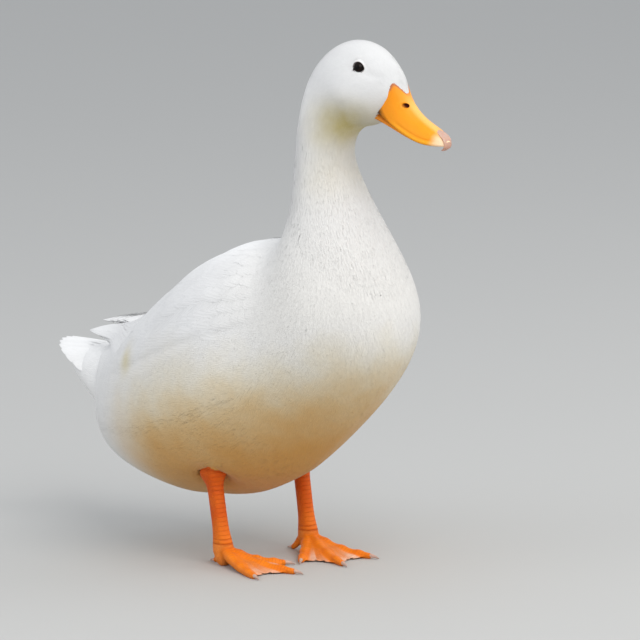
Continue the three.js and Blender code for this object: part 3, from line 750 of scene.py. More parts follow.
def shell_normals(rings, faced):
    """The ways out of a shell's points: square to its two directions, leaning most of the way to those
    it is said to face, and along its line at each end."""
    around = np.roll(rings, -1, 1) - np.roll(rings, 1, 1)
    ways = unit(np.cross(around, np.gradient(rings, axis=0)))
    ways = ways * np.sign((ways * (rings - rings.mean(1, keepdims=True))).sum())
    tip = unit(rings[-1].mean(0) - rings[-2].mean(0))
    return np.vstack([unit(lerp(ways, faced, 0.7)).reshape(-1, 3), -tip, tip])


def coat_batch(form, roots, yaw, size, heights, shape, rng):
    """Vanes of one kind on a form, with a little chance in their sizes, ready for vane_mesh."""
    long, half = size
    count = len(roots[0])
    long = np.broadcast_to(long, count) * rng.uniform(0.86, 1.14, count)
    half = np.broadcast_to(half, count) * rng.uniform(0.88, 1.12, count)
    return {
        "vanes": lay(form, roots, yaw, long, half, heights, shape),
        "places": form.unwrap(*roots),
        "tint": rng.random(count),
    }


def vane_kind(rows, columns, rounded, fray, profile, steep):
    """A kind of vane: its grid, how much its tip is rounded and frayed, its share of its width at its
    root, a third, three quarters and its tip, and the power by which it comes up out of the skin."""
    return dict(rows=rows, columns=columns, round=rounded, fray=fray, profile=profile, steep=steep)


SMALL = vane_kind(3, 3, 0.35, 0.06, (0.7, 1, 0.95, 0.6), 6)
NECK_TUFT = vane_kind(4, 4, 0.35, 0.08, (0.6, 1, 0.95, 0.55), 6)
CONTOUR = vane_kind(4, 8, 0.3, 0.045, (0.5, 0.95, 1, 0.75), 6)
HAIR = vane_kind(3, 2, 0, 0.1, (0.8, 1, 0.6, 0.15), 6)
BROAD = vane_kind(12, 11, 0.24, 0.015, (0.5, 0.9, 1, 0.78), 3)


# ---- Shader maths ----
class Wire:
    """A socket in a material. Python's signs on it add Math nodes, and node() adds any other node."""

    def __init__(self, tree, socket=None):
        self.tree, self.socket = tree, socket

    def node(self, kind, settings=None, sockets=None, out=0):
        """A node with its settings, then the values or links of its sockets. Gives one of its outputs."""
        node = self.tree.nodes.new(kind)
        for key, value in (settings or {}).items():
            setattr(node, key, value)
        for key, value in (sockets or {}).items():
            if isinstance(value, Wire):
                self.tree.links.new(value.socket, node.inputs[key])
            else:
                node.inputs[key].default_value = value
        return Wire(self.tree, node.outputs[out]) if node.outputs else None

    def math(self, operation, *others):
        """A Math node on this number and others."""
        sockets = dict(enumerate((self, *others)))
        return self.node("ShaderNodeMath", {"operation": operation}, sockets)

    def __add__(self, other):
        return self.math("ADD", other)

    def __mul__(self, other):
        return self.math("MULTIPLY", other)

    def __sub__(self, other):
        return self.math("SUBTRACT", other)

    def __rsub__(self, other):
        return self.node("ShaderNodeMath", {"operation": "SUBTRACT"}, {0: other, 1: self})

    def __truediv__(self, other):
        return self.math("DIVIDE", other)

    __radd__ = __add__
    __rmul__ = __mul__

    def rise(self, low, high):
        """0 below low and 1 above high, softly."""
        settings = {"interpolation_type": "SMOOTHSTEP"}
        return self.node("ShaderNodeMapRange", settings, {0: self, 1: low, 2: high})

    def bell(self, centre, width):
        """A bell of height 1 about its centre: e to minus the square of the way from it."""
        way = (self - centre) / width
        return self.node("ShaderNodeMath", {"operation": "POWER"}, {0: math.e, 1: 0 - way * way})

    def between(self, low, high):
        """A colour mixed by this number from the first to the second."""
        sockets = {0: self, 6: colour(low), 7: colour(high)}
        return self.node("ShaderNodeMix", {"data_type": "RGBA"}, sockets, out=2)

    def attribute(self, name):
        """A number that the mesh has at each of its points."""
        return self.node("ShaderNodeAttribute", {"attribute_name": name}, out="Fac")

    def noise(self, scale, detail):
        """Cloudy noise between 0 and 1 over these coordinates."""
        return self.node("ShaderNodeTexNoise", None, {"Vector": self, "Scale": scale, "Detail": detail})


def colour(value):
    """What a colour socket takes: a link as it is, and three numbers with full cover."""
    return value if isinstance(value, Wire) else (*value, 1)


def new_material(name, paint, constants):
    """A material whose colour, and roughness and bump where they vary, come from its paint function.
    What is the same all over is set on the shader's own sockets."""
    material = bpy.data.materials.new(name)
    material.use_nodes = True
    tree = material.node_tree
    tree.nodes.clear()
    start = Wire(tree)
    look = paint(start)
    sockets = {**constants, "Base Color": look["colour"]}
    if "roughness" in look:
        sockets["Roughness"] = look["roughness"]
    if "relief" in look:
        height, distance = look["relief"]
        sockets["Normal"] = start.node("ShaderNodeBump", None, {"Distance": distance, "Height": height})
    shader = start.node("ShaderNodeBsdfPrincipled", None, sockets)
    start.node("ShaderNodeOutputMaterial", None, {"Surface": shader})
    return material


def object_place(start):
    """Object coordinates, in metres."""
    return start.node("ShaderNodeTexCoord", out="Object")


def position(start):
    """Object coordinates, and the same as three numbers: aside, forward of the feet, and height."""
    place = object_place(start)
    split = start.node("ShaderNodeSeparateXYZ", None, {0: place})
    x, y, z = (Wire(start.tree, split.socket.node.outputs[k]) for k in range(3))
    return place, x, 0 - y - ORIGIN_BEHIND_FEET * MM, z


def plumage_colour(start):
    """White, brightest on the head, the tail and the middle of the back, which is partly whiter feathers and
    partly painted light where the light from above falls. Darker and warmer lower down, partly stains and
    partly painted shade and painted
    light thrown up from the ground: cream over the low breast and flanks, brown under the belly, olive about
    throat, cheek and neck. A small stain under each wing's end. Also gives the coordinates and the height."""
    colours = bpy.context.scene.duck.colours
    place, aside, forward, height = position(start)
    cloud = place.noise(26, 4)
    # partly stains and partly painted shade and painted light thrown up from the ground: cream and brown grow
    # towards the bottom of the body
    level = height - forward * 0.2 + (cloud - 0.5) * 0.05
    rear = forward.rise(-0.16, -0.05)
    warm = forward.rise(-0.02, 0.1) * (1 - height.rise(0.25, 0.44)) * 0.14
    cream = ((1 - level.rise(0.12, 0.235)) * (0.1 + 0.9 * rear)).math("MAXIMUM", warm)
    brown = (1 - level.rise(0.085, 0.19)) * rear
    # partly stains and partly painted shade and painted light thrown up from the ground under the head: olive
    # on throat, cheek and neck; the spot under each wing's end is a stain
    throat = forward.bell(0.11, 0.026) * height.bell(0.41, 0.016) * 0.75
    cheek = forward.bell(0.118, 0.032) * height.bell(0.428, 0.014) * 0.62
    off = aside.math("ABSOLUTE")
    # partly whiter feathers and partly painted light: the head, the tail and the top of the back are made
    # whiter
    head, tail = height.rise(0.38, 0.45), 0.6 - 0.6 * forward.rise(-0.215, -0.16)
    back = height.rise(0.24, 0.3) * (1 - off.rise(0.03, 0.07)) * (1 - forward.rise(0, 0.05))
    whiter_and_painted_light = head.math("MAXIMUM", tail).math("MAXIMUM", back)
    rump = forward.bell(-0.104, 0.01) * height.bell(0.184, 0.012) * off.rise(0.05, 0.075) * 0.6
    shade = whiter_and_painted_light.between(colours.white, colours.bright)
    shade = cream.between(shade, colours.cream)
    shade = brown.between(shade, colours.brown)
    neck = forward.bell(0.1, 0.022) * height.bell(0.375, 0.025) * 0.22
    stain_and_shade = (throat + cheek + neck + rump) * (0.6 + 0.6 * place.noise(60, 3))
    return stain_and_shade.math("MINIMUM", 1.0).between(shade, colours.olive), place, height


def plumage_paint(start):
    """The plumage's colour with painted shade, a little darker at a vane's edges and root where the vanes
    overlap, varied at random from vane to vane, with barbs that run out slantwise from the shaft."""
    base, place, _ = plumage_colour(start)
    tint, along, across = (start.attribute(name) for name in ("tint", "along", "across"))
    out = across.math("ABSOLUTE")
    # painted shade: darker towards a vane's root and edges; the tint is each vane's own tone
    depth = 0.94 + 0.04 * tint + 0.02 * along - 0.015 * out * out
    shaded_and_toned = start.node("ShaderNodeVectorMath", {"operation": "SCALE"}, {0: base, "Scale": depth})
    barbs = (along * 34 + out * 14 + place.noise(300, 2) * 1.5).math("SINE")
    shaft = out.bell(0, 0.09)
    return {"colour": shaded_and_toned, "relief": (barbs * 0.5 + shaft * 0.8, 0.0001)}


def plumage():
    """The one material of every feather, made when it is first asked for."""
    constants = {"Roughness": 0.82, "Sheen Weight": 0.2, "Sheen Roughness": 0.5, "Specular IOR Level": 0.2}
    known = bpy.data.materials.get("feather_vanes")
    return known or new_material("feather_vanes", plumage_paint, constants)


# How bare a place is, how near a lid and a crease, where it lies along the plates of its toe or shank,
# how much it faces the front of them, how much it is web, and how near the web's front edge.
SKIN_MARKS = ("bare", "lid", "crease", "plate", "front", "web", "pale")


def skin_paint(start):
    """Under the feathers the skin has their colours. The bare legs and feet are orange, redder up the
    shank and in the folds, with faint plates down the front, small scales elsewhere, a few creases at
    the joints, and webs that pale towards their front edges, partly their own paler edge and partly painted
    light. The lids are dark, with a faint ring of painted shade round them."""
    colours = bpy.context.scene.duck.colours
    base, place, height = plumage_colour(start)
    bare, lid, crease, plate, front, web, pale = (start.attribute(name) for name in SKIN_MARKS)
    patch = place.noise(90, 4)
    fine = place.noise(260, 3)
    cells = {"Vector": place, "Scale": 620}
    scales = start.node("ShaderNodeTexVoronoi", {"feature": "DISTANCE_TO_EDGE"}, cells)
    groove = 1 - ((plate + fine * 0.5).math("FRACT") - 0.5).math("ABSOLUTE").rise(0.34, 0.5)
    surface = front * groove + (1 - front) * scales.rise(0.02, 0.16)
    redness = (height.rise(0.005, 0.055) * 0.85 + patch.rise(0.35, 0.7) * 0.3).math("MINIMUM", 1.0)
    leg = redness.between(colours.toe, colours.leg)
    leg = (web * 0.8).between(leg, colours.web)
    # paler towards the webs' front edges: partly their own colour and partly painted light
    leg = (pale * (0.5 + patch.rise(0.3, 0.65) * 0.5)).between(leg, colours.web_pale)
    leg = ((1 - surface) * (0.12 + 0.2 * patch)).between(leg, colours.fold)
    leg = (crease.math("MINIMUM", 1.0) * 0.55).between(leg, colours.fold)
    shade = bare.between(base, leg)
    # the faint outer part of the lid mark is painted shade round the eye
    shade = lid.between(shade, colours.lid)
    rough = 0.46 + 0.2 * patch + (1 - bare) * 0.3
    return {"colour": shade, "roughness": rough, "relief": ((surface - crease * 2) * bare, 0.0003)}


def bill_paint(start):
    """Orange horn, deeper low down by the mouth, with a painted highlight along the ridge, pale along the
    lip, and fading to pinkish white by the nail. The edge against the feathers is reddish, the gape is dark,
    and the nostrils are painted dark as the shade in their pits."""
    colours = bpy.context.scene.duck.colours
    place = object_place(start)
    along, up = start.attribute("bill_along"), start.attribute("ridge_highlight")
    edge, pit, lip, gape = (start.attribute(name) for name in ("edge", "pit", "lip", "gape"))
    cloud = place.noise(120, 4)
    fibre = place.noise(420, 5)
    base = (along.rise(0, 30) * 0.8 + cloud * 0.3).between(colours.bill_base, colours.bill)
    # painted highlight along the top of the bill's ridge
    base = (up * 0.75).between(base, colours.bill_ridge_highlight)
    base = (lip * 0.85).between(base, colours.bill_lip)
    tip = (along + (cloud - 0.5) * 6).rise(61, 73)
    base = tip.between(base, colours.bill_tip)
    base = (edge * 0.8).between(base, colours.bill_edge)
    # painted shade: the nostril pits are darkened as the shade inside them
    base = pit.between(base, colours.nostril)
    base = gape.between(base, colours.gape)
    rough = 0.34 + 0.18 * cloud + 0.1 * fibre + pit * 0.4
    return {"colour": base, "roughness": rough, "relief": (fibre * 0.6 + cloud * 0.4, 0.0003)}


def nail_paint(start):
    """Pale pink horn, browner towards its hooked tip, with fine lines along it."""
    colours = bpy.context.scene.duck.colours
    place = object_place(start)
    along, across = start.attribute("along"), start.attribute("across")
    lines = (across * 40 + place.noise(200, 3) * 3).math("SINE")
    shade = (along.rise(0.35, 1.0) * 0.8).between(colours.nail, colours.nail_tip)
    return {"colour": shade, "roughness": 0.32 + 0.08 * lines, "relief": (lines, 0.00006)}


def claw_paint(start):
    """Straw horn that darkens to brown at the tip, with faint rings."""
    colours = bpy.context.scene.duck.colours
    along = start.attribute("along")
    place = object_place(start)
    mottle = place.noise(500, 3)
    rings = (along * 30 + mottle * 2).math("SINE")
    shade = (along.rise(0.2, 1.0) * 0.85 + mottle * 0.15).between(colours.claw, colours.claw_tip)
    return {"colour": shade, "roughness": 0.4 + 0.1 * mottle, "relief": (rings, 0.00005)}


def eye_paint(start):
    """A black pupil in a very dark brown iris with faint rays, which blends into the black rim."""
    colours = bpy.context.scene.duck.colours
    out, turn = start.attribute("out"), start.attribute("turn")
    place = object_place(start)
    rays = (turn * 60 + place.noise(900, 2) * 4).math("SINE") * 0.5 + 0.5
    ring = out.rise(0.36, 0.44) * (1 - out.rise(0.72, 0.86))
    shade = (ring * (0.55 + 0.45 * rays)).between(colours.pupil, colours.iris)
    return {"colour": shade, "roughness": 0.04 + 0.02 * ring}


# ---- Skin ----
def leg_joints(side):
    """Where a leg's hock and ankle are."""
    return [at(*(spot * [SIDES[side], 1, 1] + [0, STEPPED[side], 0])) for spot in (HOCK, ANKLE)]


def toe_way(side, toe):
    """The level direction in which a toe points."""
    angle = SIDES[side] * (TOES[toe][0] - TOE_IN[side])
    return np.array([math.sin(angle), -math.cos(angle), 0])


def toe_radius(u):
    """Tapering to the tip, with a small swelling at each of its three joints."""
    swelling = sum(bump(u, joint, 0.06) for joint in TOE_JOINTS)
    return lerp(TOE["root"], TOE["tip"], u) + TOE["swell"] * swelling


def on_toe(side, toe, u):
    """The middle of a toe: level along its way, and rising to the ankle as a power of what is left."""
    u = np.asarray(u, float)
    spot = leg_joints(side)[1] + toe_way(side, toe) * (TOES[toe][1] * u)[..., None]
    spot[..., 2] = TOE["pressed"] * toe_radius(u) + TOE["instep"] * np.clip(1 - u, 0, 1) ** TOE["arch"]
    return spot


def toe_shell(side, toe):
    """A round toe carried along its line, closed by a dome past its end."""
    u = np.linspace(0, 1, 60)
    across = np.cross(toe_way(side, toe), [0, 0, 1.0])
    radius = toe_radius(u) * np.maximum(0.3, dome((u - 0.955) / 0.047))
    return sweep(on_toe(side, toe, u), across, radius, radius * 0.94)


def web_shell(side, first, second):
    """A thin sheet between the backs of two toes. It sags a little towards its middle, runs in shallow
    pleats from the ankle, comes down to the floor in front, and is scooped at its front edge."""
    u, v = np.meshgrid(np.linspace(0, 1, 44), np.linspace(0, 1, 32), indexing="ij")
    reach = WEB["reach"] - WEB["scallop"] * np.sin(np.pi * v)
    along = lerp(WEB["from"], reach, u)
    spot = lerp(on_toe(side, first, along), on_toe(side, second, along), v[..., None])
    sag = np.sin(np.pi * v)
    pleat = 0.35 * np.sin(v * 7 * np.pi) * smooth(u, 0.2, 0.7) * sag
    raised = lerp(*WEB["rise"], u**3) * toe_radius(along)
    spot[..., 2] = np.maximum(0.5, spot[..., 2] + raised - WEB["sag"] * sag) + pleat
    thin = WEB["thick"] * (1 - 0.35 * smooth(u, 0.6, 1))[..., None]
    return shell(np.concatenate([spot + thin * [0, 0, 0.5], (spot - thin * [0, 0, 0.5])[:, ::-1]], 1))


def shank_shell(side):
    """An oval carried from above the hock to the foot, swollen at both joints."""
    hock, ankle = leg_joints(side)
    u = np.linspace(0, 1, 90)
    line = lerp(lerp(hock, ankle, -0.2), ankle - [0, 0, 4], u[:, None])
    swell = SHANK["hock"] * bump(u, 0.13, 0.1) + SHANK["ankle"] * bump(u, 1, 0.17)
    return sweep(line, np.array([1.0, 0, 0]), SHANK["wide"] + swell, SHANK["deep"] + swell, 40)


def pad_shell(side):
    """The ball of the foot: a tall ball pressed on the floor."""
    turn = np.linspace(0.05, np.pi - 0.05, 24)[:, None]
    angle = np.linspace(0, 2 * np.pi, 32, endpoint=False)[None]
    flat = PAD["radius"] * np.sin(turn)
    rings = np.stack([flat * np.cos(angle), flat * np.sin(angle), PAD["tall"] * np.cos(turn) + 0 * angle], -1)
    return shell(rings + leg_joints(side)[1] * [1, 1, 0] + [0, 0, PAD["height"]])


def hallux_line(side, count):
    """The small hind toe's line: a curve pulled towards one middle point, from ankle to floor."""
    sign, wide = SIDES[side], HALLUX["radius"]
    ankle = leg_joints(side)[1] * [1, 1, 0]
    start = ankle + [-sign * HALLUX["root_inset"], HALLUX["behind"], HALLUX["height"]]
    end = ankle + [-sign * HALLUX["inset"], HALLUX["length"], TOE["pressed"] * wide[1]]
    middle = lerp(start, end, 0.6)
    middle[2] = TOE["pressed"] * wide[0]
    u = np.linspace(0, 1, count)[:, None]
    return (1 - u) ** 2 * start + 2 * u * (1 - u) * middle + u**2 * end


def hallux_shell(side):
    """A round toe carried along its line, closed by a dome."""
    u = np.linspace(0, 1, 30)
    radius = lerp(*HALLUX["radius"], u) * np.maximum(0.3, dome((u - 0.92) / 0.085))
    return sweep(hallux_line(side, 30), np.array([1.0, 0, 0]), radius, radius)


def lid_shell(side):
    """A ring of lid round the eye: an almond, pointed a little at its corners, whose flat section lies
    on the ball and turns down under the feathers at its outer edge."""
    out, ahead, up = eye_axes(side)
    turn = np.linspace(0, 2 * np.pi, 96, endpoint=False)[:, None]
    angle = np.linspace(0, 2 * np.pi, 16, endpoint=False)[None]
    c, s = np.cos(turn), np.sin(turn)
    half = LID["half"] * (1 + 0.08 * np.abs(c) ** 6) * (1 - 0.06 * s**2)
    reach = half + LID["band"] * (1 + np.cos(angle)) / 2
    ball = EYE["radius"] + 0.1
    depth = np.sqrt(ball**2 - half**2)
    lift = LID["thick"] * (0.3 + np.sin(angle)) - LID["slope"] * (reach - half)
    place = eye_place(side) + (depth + lift)[..., None] * out
    return shell_ring(place + (reach * c)[..., None] * ahead + (reach * s)[..., None] * up)


def shell_ring(rings):
    """A body whose rings join up again, as a tyre's do, with its faces pointing out."""
    rows, columns = rings.shape[:2]
    closed = np.concatenate([rings, rings[:1]])
    quads = lattice(rows + 1, columns) % (rows * columns)
    middle = closed.mean(1, keepdims=True)
    normal = np.cross(np.roll(closed, -1, 1) - closed, np.gradient(closed, axis=0))
    inward = (normal * (closed - middle)).sum() < 0
    points = rings.reshape(-1, 3)
    quads = quads if inward else quads[:, ::-1]
    return points, quads, np.empty((0, 3), int)


def body_shell():
    """The body's form, inside the feathers by the coat's depth."""
    t, angle = closed_grid(0.6, LAST_RIB - 0.4, 190, 128)
    return shell(BODY.place(t, angle, -column(COAT_DEPTH, 1, t)))


def solid_piece(name, parts, material):
    """A piece of several closed bodies."""
    points, quads, tris = gather(parts)
    return mesh_object(name, points, [quads, tris], material)


def finished(piece):
    """The piece's mesh as its modifiers leave it, which takes their place."""
    depsgraph = bpy.context.evaluated_depsgraph_get()
    mesh = bpy.data.meshes.new_from_object(piece.evaluated_get(depsgraph))
    piece.modifiers.clear()
    piece.data = mesh
    return piece


def leg(side, material):
    """One bare leg and foot, melted into one surface from its round parts, smoothed a little, and
    pressed flat on the floor."""
    toes = [toe_shell(side, toe) for toe in TOES]
    webs = [web_shell(side, "inner", "middle"), web_shell(side, "middle", "outer")]
    parts = [shank_shell(side), pad_shell(side), hallux_shell(side), *toes, *webs]
    piece = solid_piece(f"leg_{side}", parts, material)
    melt = piece.modifiers.new("melt", "REMESH")
    melt.mode, melt.voxel_size = "VOXEL", MELT_CUBE * MM
    soften = piece.modifiers.new("soften", "SMOOTH")
    soften.factor, soften.iterations = 0.5, 5
    finished(piece)
    spots = vertices(piece)
    spots[:, 2] = np.maximum(spots[:, 2], 0)
    put_vertices(piece, spots)
    return piece


def vertices(piece):
    """The piece's points, in millimetres."""
    spots = np.empty(len(piece.data.vertices) * 3, np.float32)
    piece.data.vertices.foreach_get("co", spots)
    return spots.reshape(-1, 3).astype(float) / MM


def put_vertices(piece, spots):
    """Moves the piece's points, given in millimetres."""
    piece.data.vertices.foreach_set("co", (spots * MM).astype(np.float32).ravel())
    piece.data.update()


def near_line(spots, line):
    """The distance of places from a line of points, and how far along it they are, from the nearest
    place on each of its straight lengths."""
    best = np.full(len(spots), np.inf)
    way = np.zeros(len(spots))
    done = 0.0
    for a, b in zip(line[:-1], line[1:]):
        length = np.linalg.norm(b - a)
        u = np.clip((spots - a) @ (b - a) / length**2, 0, 1)
        gap = np.linalg.norm(spots - a - u[:, None] * (b - a), axis=1)
        closer = gap < best
        best = np.where(closer, gap, best)
        way = np.where(closer, done + u * length, way)
        done += length
    return best, way


def mark_leg(marks, spots, normals, side):
    """The numbers of one bare leg, from how near each place is to the lines of its shank and toes."""
    height = spots[:, 2]
    hock, ankle = leg_joints(side)
    gap, way = near_line(spots, np.array([lerp(hock, ankle, -0.2), ankle]))
    mine = np.sign(spots[:, 0]) == SIDES[side]
    bare = mine & ((gap < 16) | (height < SHANK["foot"] + 4)) & (height < CUFF_HEIGHT)
    marks["bare"][bare] = 1
    shank = bare & (height >= SHANK["foot"])
    creases = sum(deep * bump(height, level, wide) for level, wide, deep in CREASES)
    marks["plate"][shank] = way[shank] / SHANK["plate"]
    marks["front"][shank] = smooth(-normals[shank, 1], 0.25, 0.55)
    marks["crease"][shank] = creases[shank]
    foot = bare & (height < SHANK["foot"])
    lines = [on_toe(side, toe, np.linspace(0, 1, 14)) for toe in TOES] + [hallux_line(side, 8)]
    lengths = np.array([length for _, length in TOES.values()] + [HALLUX["length"]])
    gaps, ways = np.moveaxis(np.array([near_line(spots, line) for line in lines]), 1, 0)
    nearest = gaps.argmin(0)
    way = ways[nearest, np.arange(len(spots))]
    webbed = smooth(gaps.min(0), 5.2, 8)
    marks["plate"][foot] = (way / TOE["plate"])[foot]
    marks["front"][foot] = (smooth(normals[:, 2], 0.2, 0.6) * (1 - webbed))[foot]
    marks["web"][foot] = webbed[foot]
    # paler towards the web's front edge: partly its own colour and partly painted light
    marks["pale"][foot] = (webbed * smooth(way / lengths[nearest], 0.5, 0.85))[foot]


def mark_skin(piece):
    """Works out the numbers that the skin's material reads, and gives them to the piece. A lid is
    marked by how near it is to the eye: fully on its rim, and faintly a little way out, which is painted
    shade round the eye."""
    spots = vertices(piece)
    normals = np.empty(len(spots) * 3, np.float32)
    piece.data.vertex_normals.foreach_get("vector", normals)
    marks = {name: np.zeros(len(spots)) for name in SKIN_MARKS}
    for side, sign in SIDES.items():
        mark_leg(marks, spots, normals.reshape(-1, 3), side)
        away = np.linalg.norm(spots - eye_place(sign), axis=1)
        # the faint part a little way out is painted shade that greys the smooth ring round the eye
        rim = 0.84 * (1 - smooth(away, 5.9, 6.5)) + 0.16 * (1 - smooth(away, 7.4, 8.4))
        marks["lid"] = np.maximum(marks["lid"], rim)
    for name, numbers in marks.items():
        attribute = piece.data.attributes.new(name, "FLOAT", "POINT")
        attribute.data.foreach_set("value", numbers.astype(np.float32))


def make_skin():
    """The skin as one closed surface: the body, the wedge of the tail, thighs, legs and lids, united."""
    material = new_material("bird_skin", skin_paint, {"Specular IOR Level": 0.25})
    skin = solid_piece("skin", [body_shell()], material)
    t, angle = closed_grid(-0.2, 0.92, 40, 64)
    wedge = solid_piece("wedge", [shell(WEDGE.place(t, angle, np.full_like(t, -WEDGE_DEPTH)))], material)
    t, angle = closed_grid(0, 0.84, 40, 64)
    thigh_shells = [shell(form.place(t, angle, -lerp(*THIGH_DEPTH, t))) for form in THIGHS.values()]
    thighs = solid_piece("thighs", thigh_shells, material)
    legs = [leg(side, material) for side in SIDES]
    lids = solid_piece("lids", [lid_shell(sign) for sign in SIDES.values()], material)
    others = [wedge, thighs, *legs, lids]
    for other in others:
        join = skin.modifiers.new("join", "BOOLEAN")
        join.operation, join.solver, join.object = "UNION", "MANIFOLD", other
    finished(skin)
    for other in others:
        bpy.data.objects.remove(other)
    return skin


# ---- Bill, eyes and claws ----
def bill_surface(stations, rows, columns, vault):
    """Half of the bill on a grid: stations blended by a spline along it, and round it an arch whose
    rise is a power of the sine, closed below by a shallow vault. Gives aside, along and up, the height
    of the rim, and the sine, which is above zero on the arch."""
    u, angle = closed_grid(0, len(stations) - 1, rows, columns)
    along, top, rim, half, rounded = np.moveaxis(spline(stations, u), -1, 0)
    c, s = np.cos(angle), np.sin(angle)
    aside = half * np.sign(c) * np.abs(c) ** rounded
    rise = np.where(s >= 0, (top - rim) * np.abs(s) ** rounded, -vault * s)
    return aside, along, rim + rise, rim, s


def head_gap(points):
    """How far places stand off the head's feathers, by the nearest of the form's own points."""
    ribs, angles = np.linspace(17.5, LAST_RIB - 0.1, 70), np.linspace(0, 2 * np.pi, 64)
    t, angle = np.meshgrid(ribs, angles, indexing="ij")
    spots = BODY.place(t, angle).reshape(-1, 3)
    ways = unit(BODY.read(BODY.normal, t, angle)).reshape(-1, 3)
    gap = np.empty(len(points))
    for part in np.array_split(np.arange(len(points)), 1 + len(points) // 4000):
        away = ((points[part, None] - spots[None]) ** 2).sum(-1)
        pick = away.argmin(1)
        gap[part] = ((points[part] - spots[pick]) * ways[pick]).sum(-1)
    return gap


def make_upper_bill(material):
    """The upper bill, with a long nostril pit in a shallow dish with a raised rim, and a groove that
    parts the rolled lip from the side. Each is a bell, or a soft step, of the way from its middle."""
    aside, along, up, rim, s = bill_surface(UPPER_BILL, 240, 144, 3)
    outer = smooth(s, 0.0, 0.12)
    pitch = -NOSTRIL["pitch"]
    a, b = along - NOSTRIL["along"], up - NOSTRIL["up"]
    long = a * math.cos(pitch) + b * math.sin(pitch)
    tall = b * math.cos(pitch) - a * math.sin(pitch)
    ring = np.hypot(long / NOSTRIL["long"], tall / NOSTRIL["tall"]) * 2
    side = smooth(np.abs(aside), 2.5, 5) * outer
    pit = (1 - smooth(ring, 0.7, 1.15)) * side
    dish = bump(long, -1.5, 8) * bump(tall, 0, 4.2) * side
    raised = bump(ring, 1.6, 0.45) * side
    above_rim = up - rim
    lip = bump(above_rim, 1.8, 1.5) * smooth(along, 14, 26) * outer
    groove = bump(above_rim, 4.3, 0.8) * smooth(along, 20, 32) * (1 - smooth(along, 60, 68)) * outer
    inward = 3.6 * pit + 0.55 * dish - 0.4 * raised + 0.55 * groove - 0.5 * lip
    aside = aside - np.sign(aside) * inward * smooth(np.abs(aside), 1, 4)
    points, quads, tris = shell(on_bill(aside, along, up))
    values = {
        "bill_along": with_ends(along),
        # where the ridge's painted highlight lies: the top of the arch
        "ridge_highlight": with_ends(smooth(s, 0.86, 1) * smooth(along, 14, 34)),
        "edge": bump(head_gap(points), 0.15, 0.38) * with_ends(smooth(up, 21, 23.5)),
        "pit": with_ends((1 - smooth(ring, 0.8, 1.2)) * side),
        "lip": with_ends(lip),
        "gape": with_ends((1 - smooth(along, 4, 10)) * (1 - smooth(above_rim, 0.5, 2.2))),
    }
    return mesh_object("upper_bill", points, [quads, tris], material, values=values)


def make_lower_bill(material):
    """The lower bill, a shallow trough under the upper one that shows as a narrow strip by the gape."""
    aside, along, up, _, _ = bill_surface(LOWER_BILL, 120, 72, 0.5)
    points, quads, tris = shell(on_bill(aside, along, up))
    values = {
        **dict.fromkeys(("ridge_highlight", "edge", "pit", "lip"), np.zeros(len(points))),
        "bill_along": with_ends(along * 0.35),
        "gape": with_ends((1 - smooth(along, 6, 22)) * (0.25 + 0.6 * smooth(up, -3.5, -1.2))),
    }
    return mesh_object("lower_bill", points, [quads, tris], material, values=values)


def make_nail_horn():
    """The nail at the bill's tip: a flattened oval along its hooked line, widest in front of its root."""
    rows, sides = 70, 48
    line = through(NAIL_WAY, rows)
    spots = on_bill(0, line[:, 0], line[:, 1])
    across = on_bill(1, 0, 0) - on_bill(0, 0, 0)
    u = np.linspace(0, 1, rows)
    wide = NAIL["half"] * dome(1 - u / 0.35) * dome(u - 0.3) + NAIL["edge"]
    deep = NAIL["thick"] / 2 * (0.55 + 0.45 * dome(1 - u / 0.2)) * (1 - 0.4 * smooth(u, 0.8, 1))
    points, quads, tris = sweep(spots, across, wide, deep, sides)
    values = {
        "along": np.concatenate([np.repeat(u, sides), [0, 1]]),
        "across": np.concatenate([np.tile(np.cos(full_turn(sides)), rows), [0, 0]]),
    }
    material = new_material("nail_horn", nail_paint, {"Subsurface Weight": 0.15, "Subsurface Scale": 0.003})
    return mesh_object("nail_horn", points, [quads, tris], material, values=values)


def make_eye(side, material):
    """An eye: a ball with a clearer bulge of cornea, turned so that it looks out of the head. Its rings
    run from the middle of the pupil to the back."""
    sign = SIDES[side]
    out, ahead, up = eye_axes(sign)
    turn, angle = closed_grid(0.02, np.pi - 0.02, 72, 96)
    radius = EYE["radius"] * (1 + 0.06 * bump(turn, 0, 0.6))
    ring = radius * np.sin(turn)
    spots = (radius * np.cos(turn))[..., None] * out
    spots = spots + (ring * np.cos(angle))[..., None] * ahead + (ring * np.sin(angle))[..., None] * up
    points, quads, tris = shell(spots + eye_place(sign))
    values = {
        "out": np.concatenate([turn.ravel(), [0, np.pi]]),
        "turn": np.concatenate([np.abs(angle - np.pi).ravel(), [0, 0]]),
    }
    return mesh_object(f"eyeball_{side}", points, [quads, tris], material, values=values)


def claw_shell(base, way, length, radius):
    """A claw: ovals along a curve that runs on and then down to the floor, thinning to a blunt tip."""
    u = np.linspace(0, 1, CLAW["rows"])[:, None]
    reach = base + way * length * 0.6
    end = base + way * length
    end[2] = 2 * CLAW["tip"]
    line = (1 - u) ** 2 * base + 2 * u * (1 - u) * reach + u**2 * end
    thin = lerp(radius, CLAW["tip"], u[:, 0] ** 1.3)
    points, quads, tris = sweep(line, np.cross(way, [0, 0, 1.0]), thin * 0.9, thin, CLAW["sides"])
    points[:, 2] = np.maximum(points[:, 2], 0.05)
    return points, quads, tris


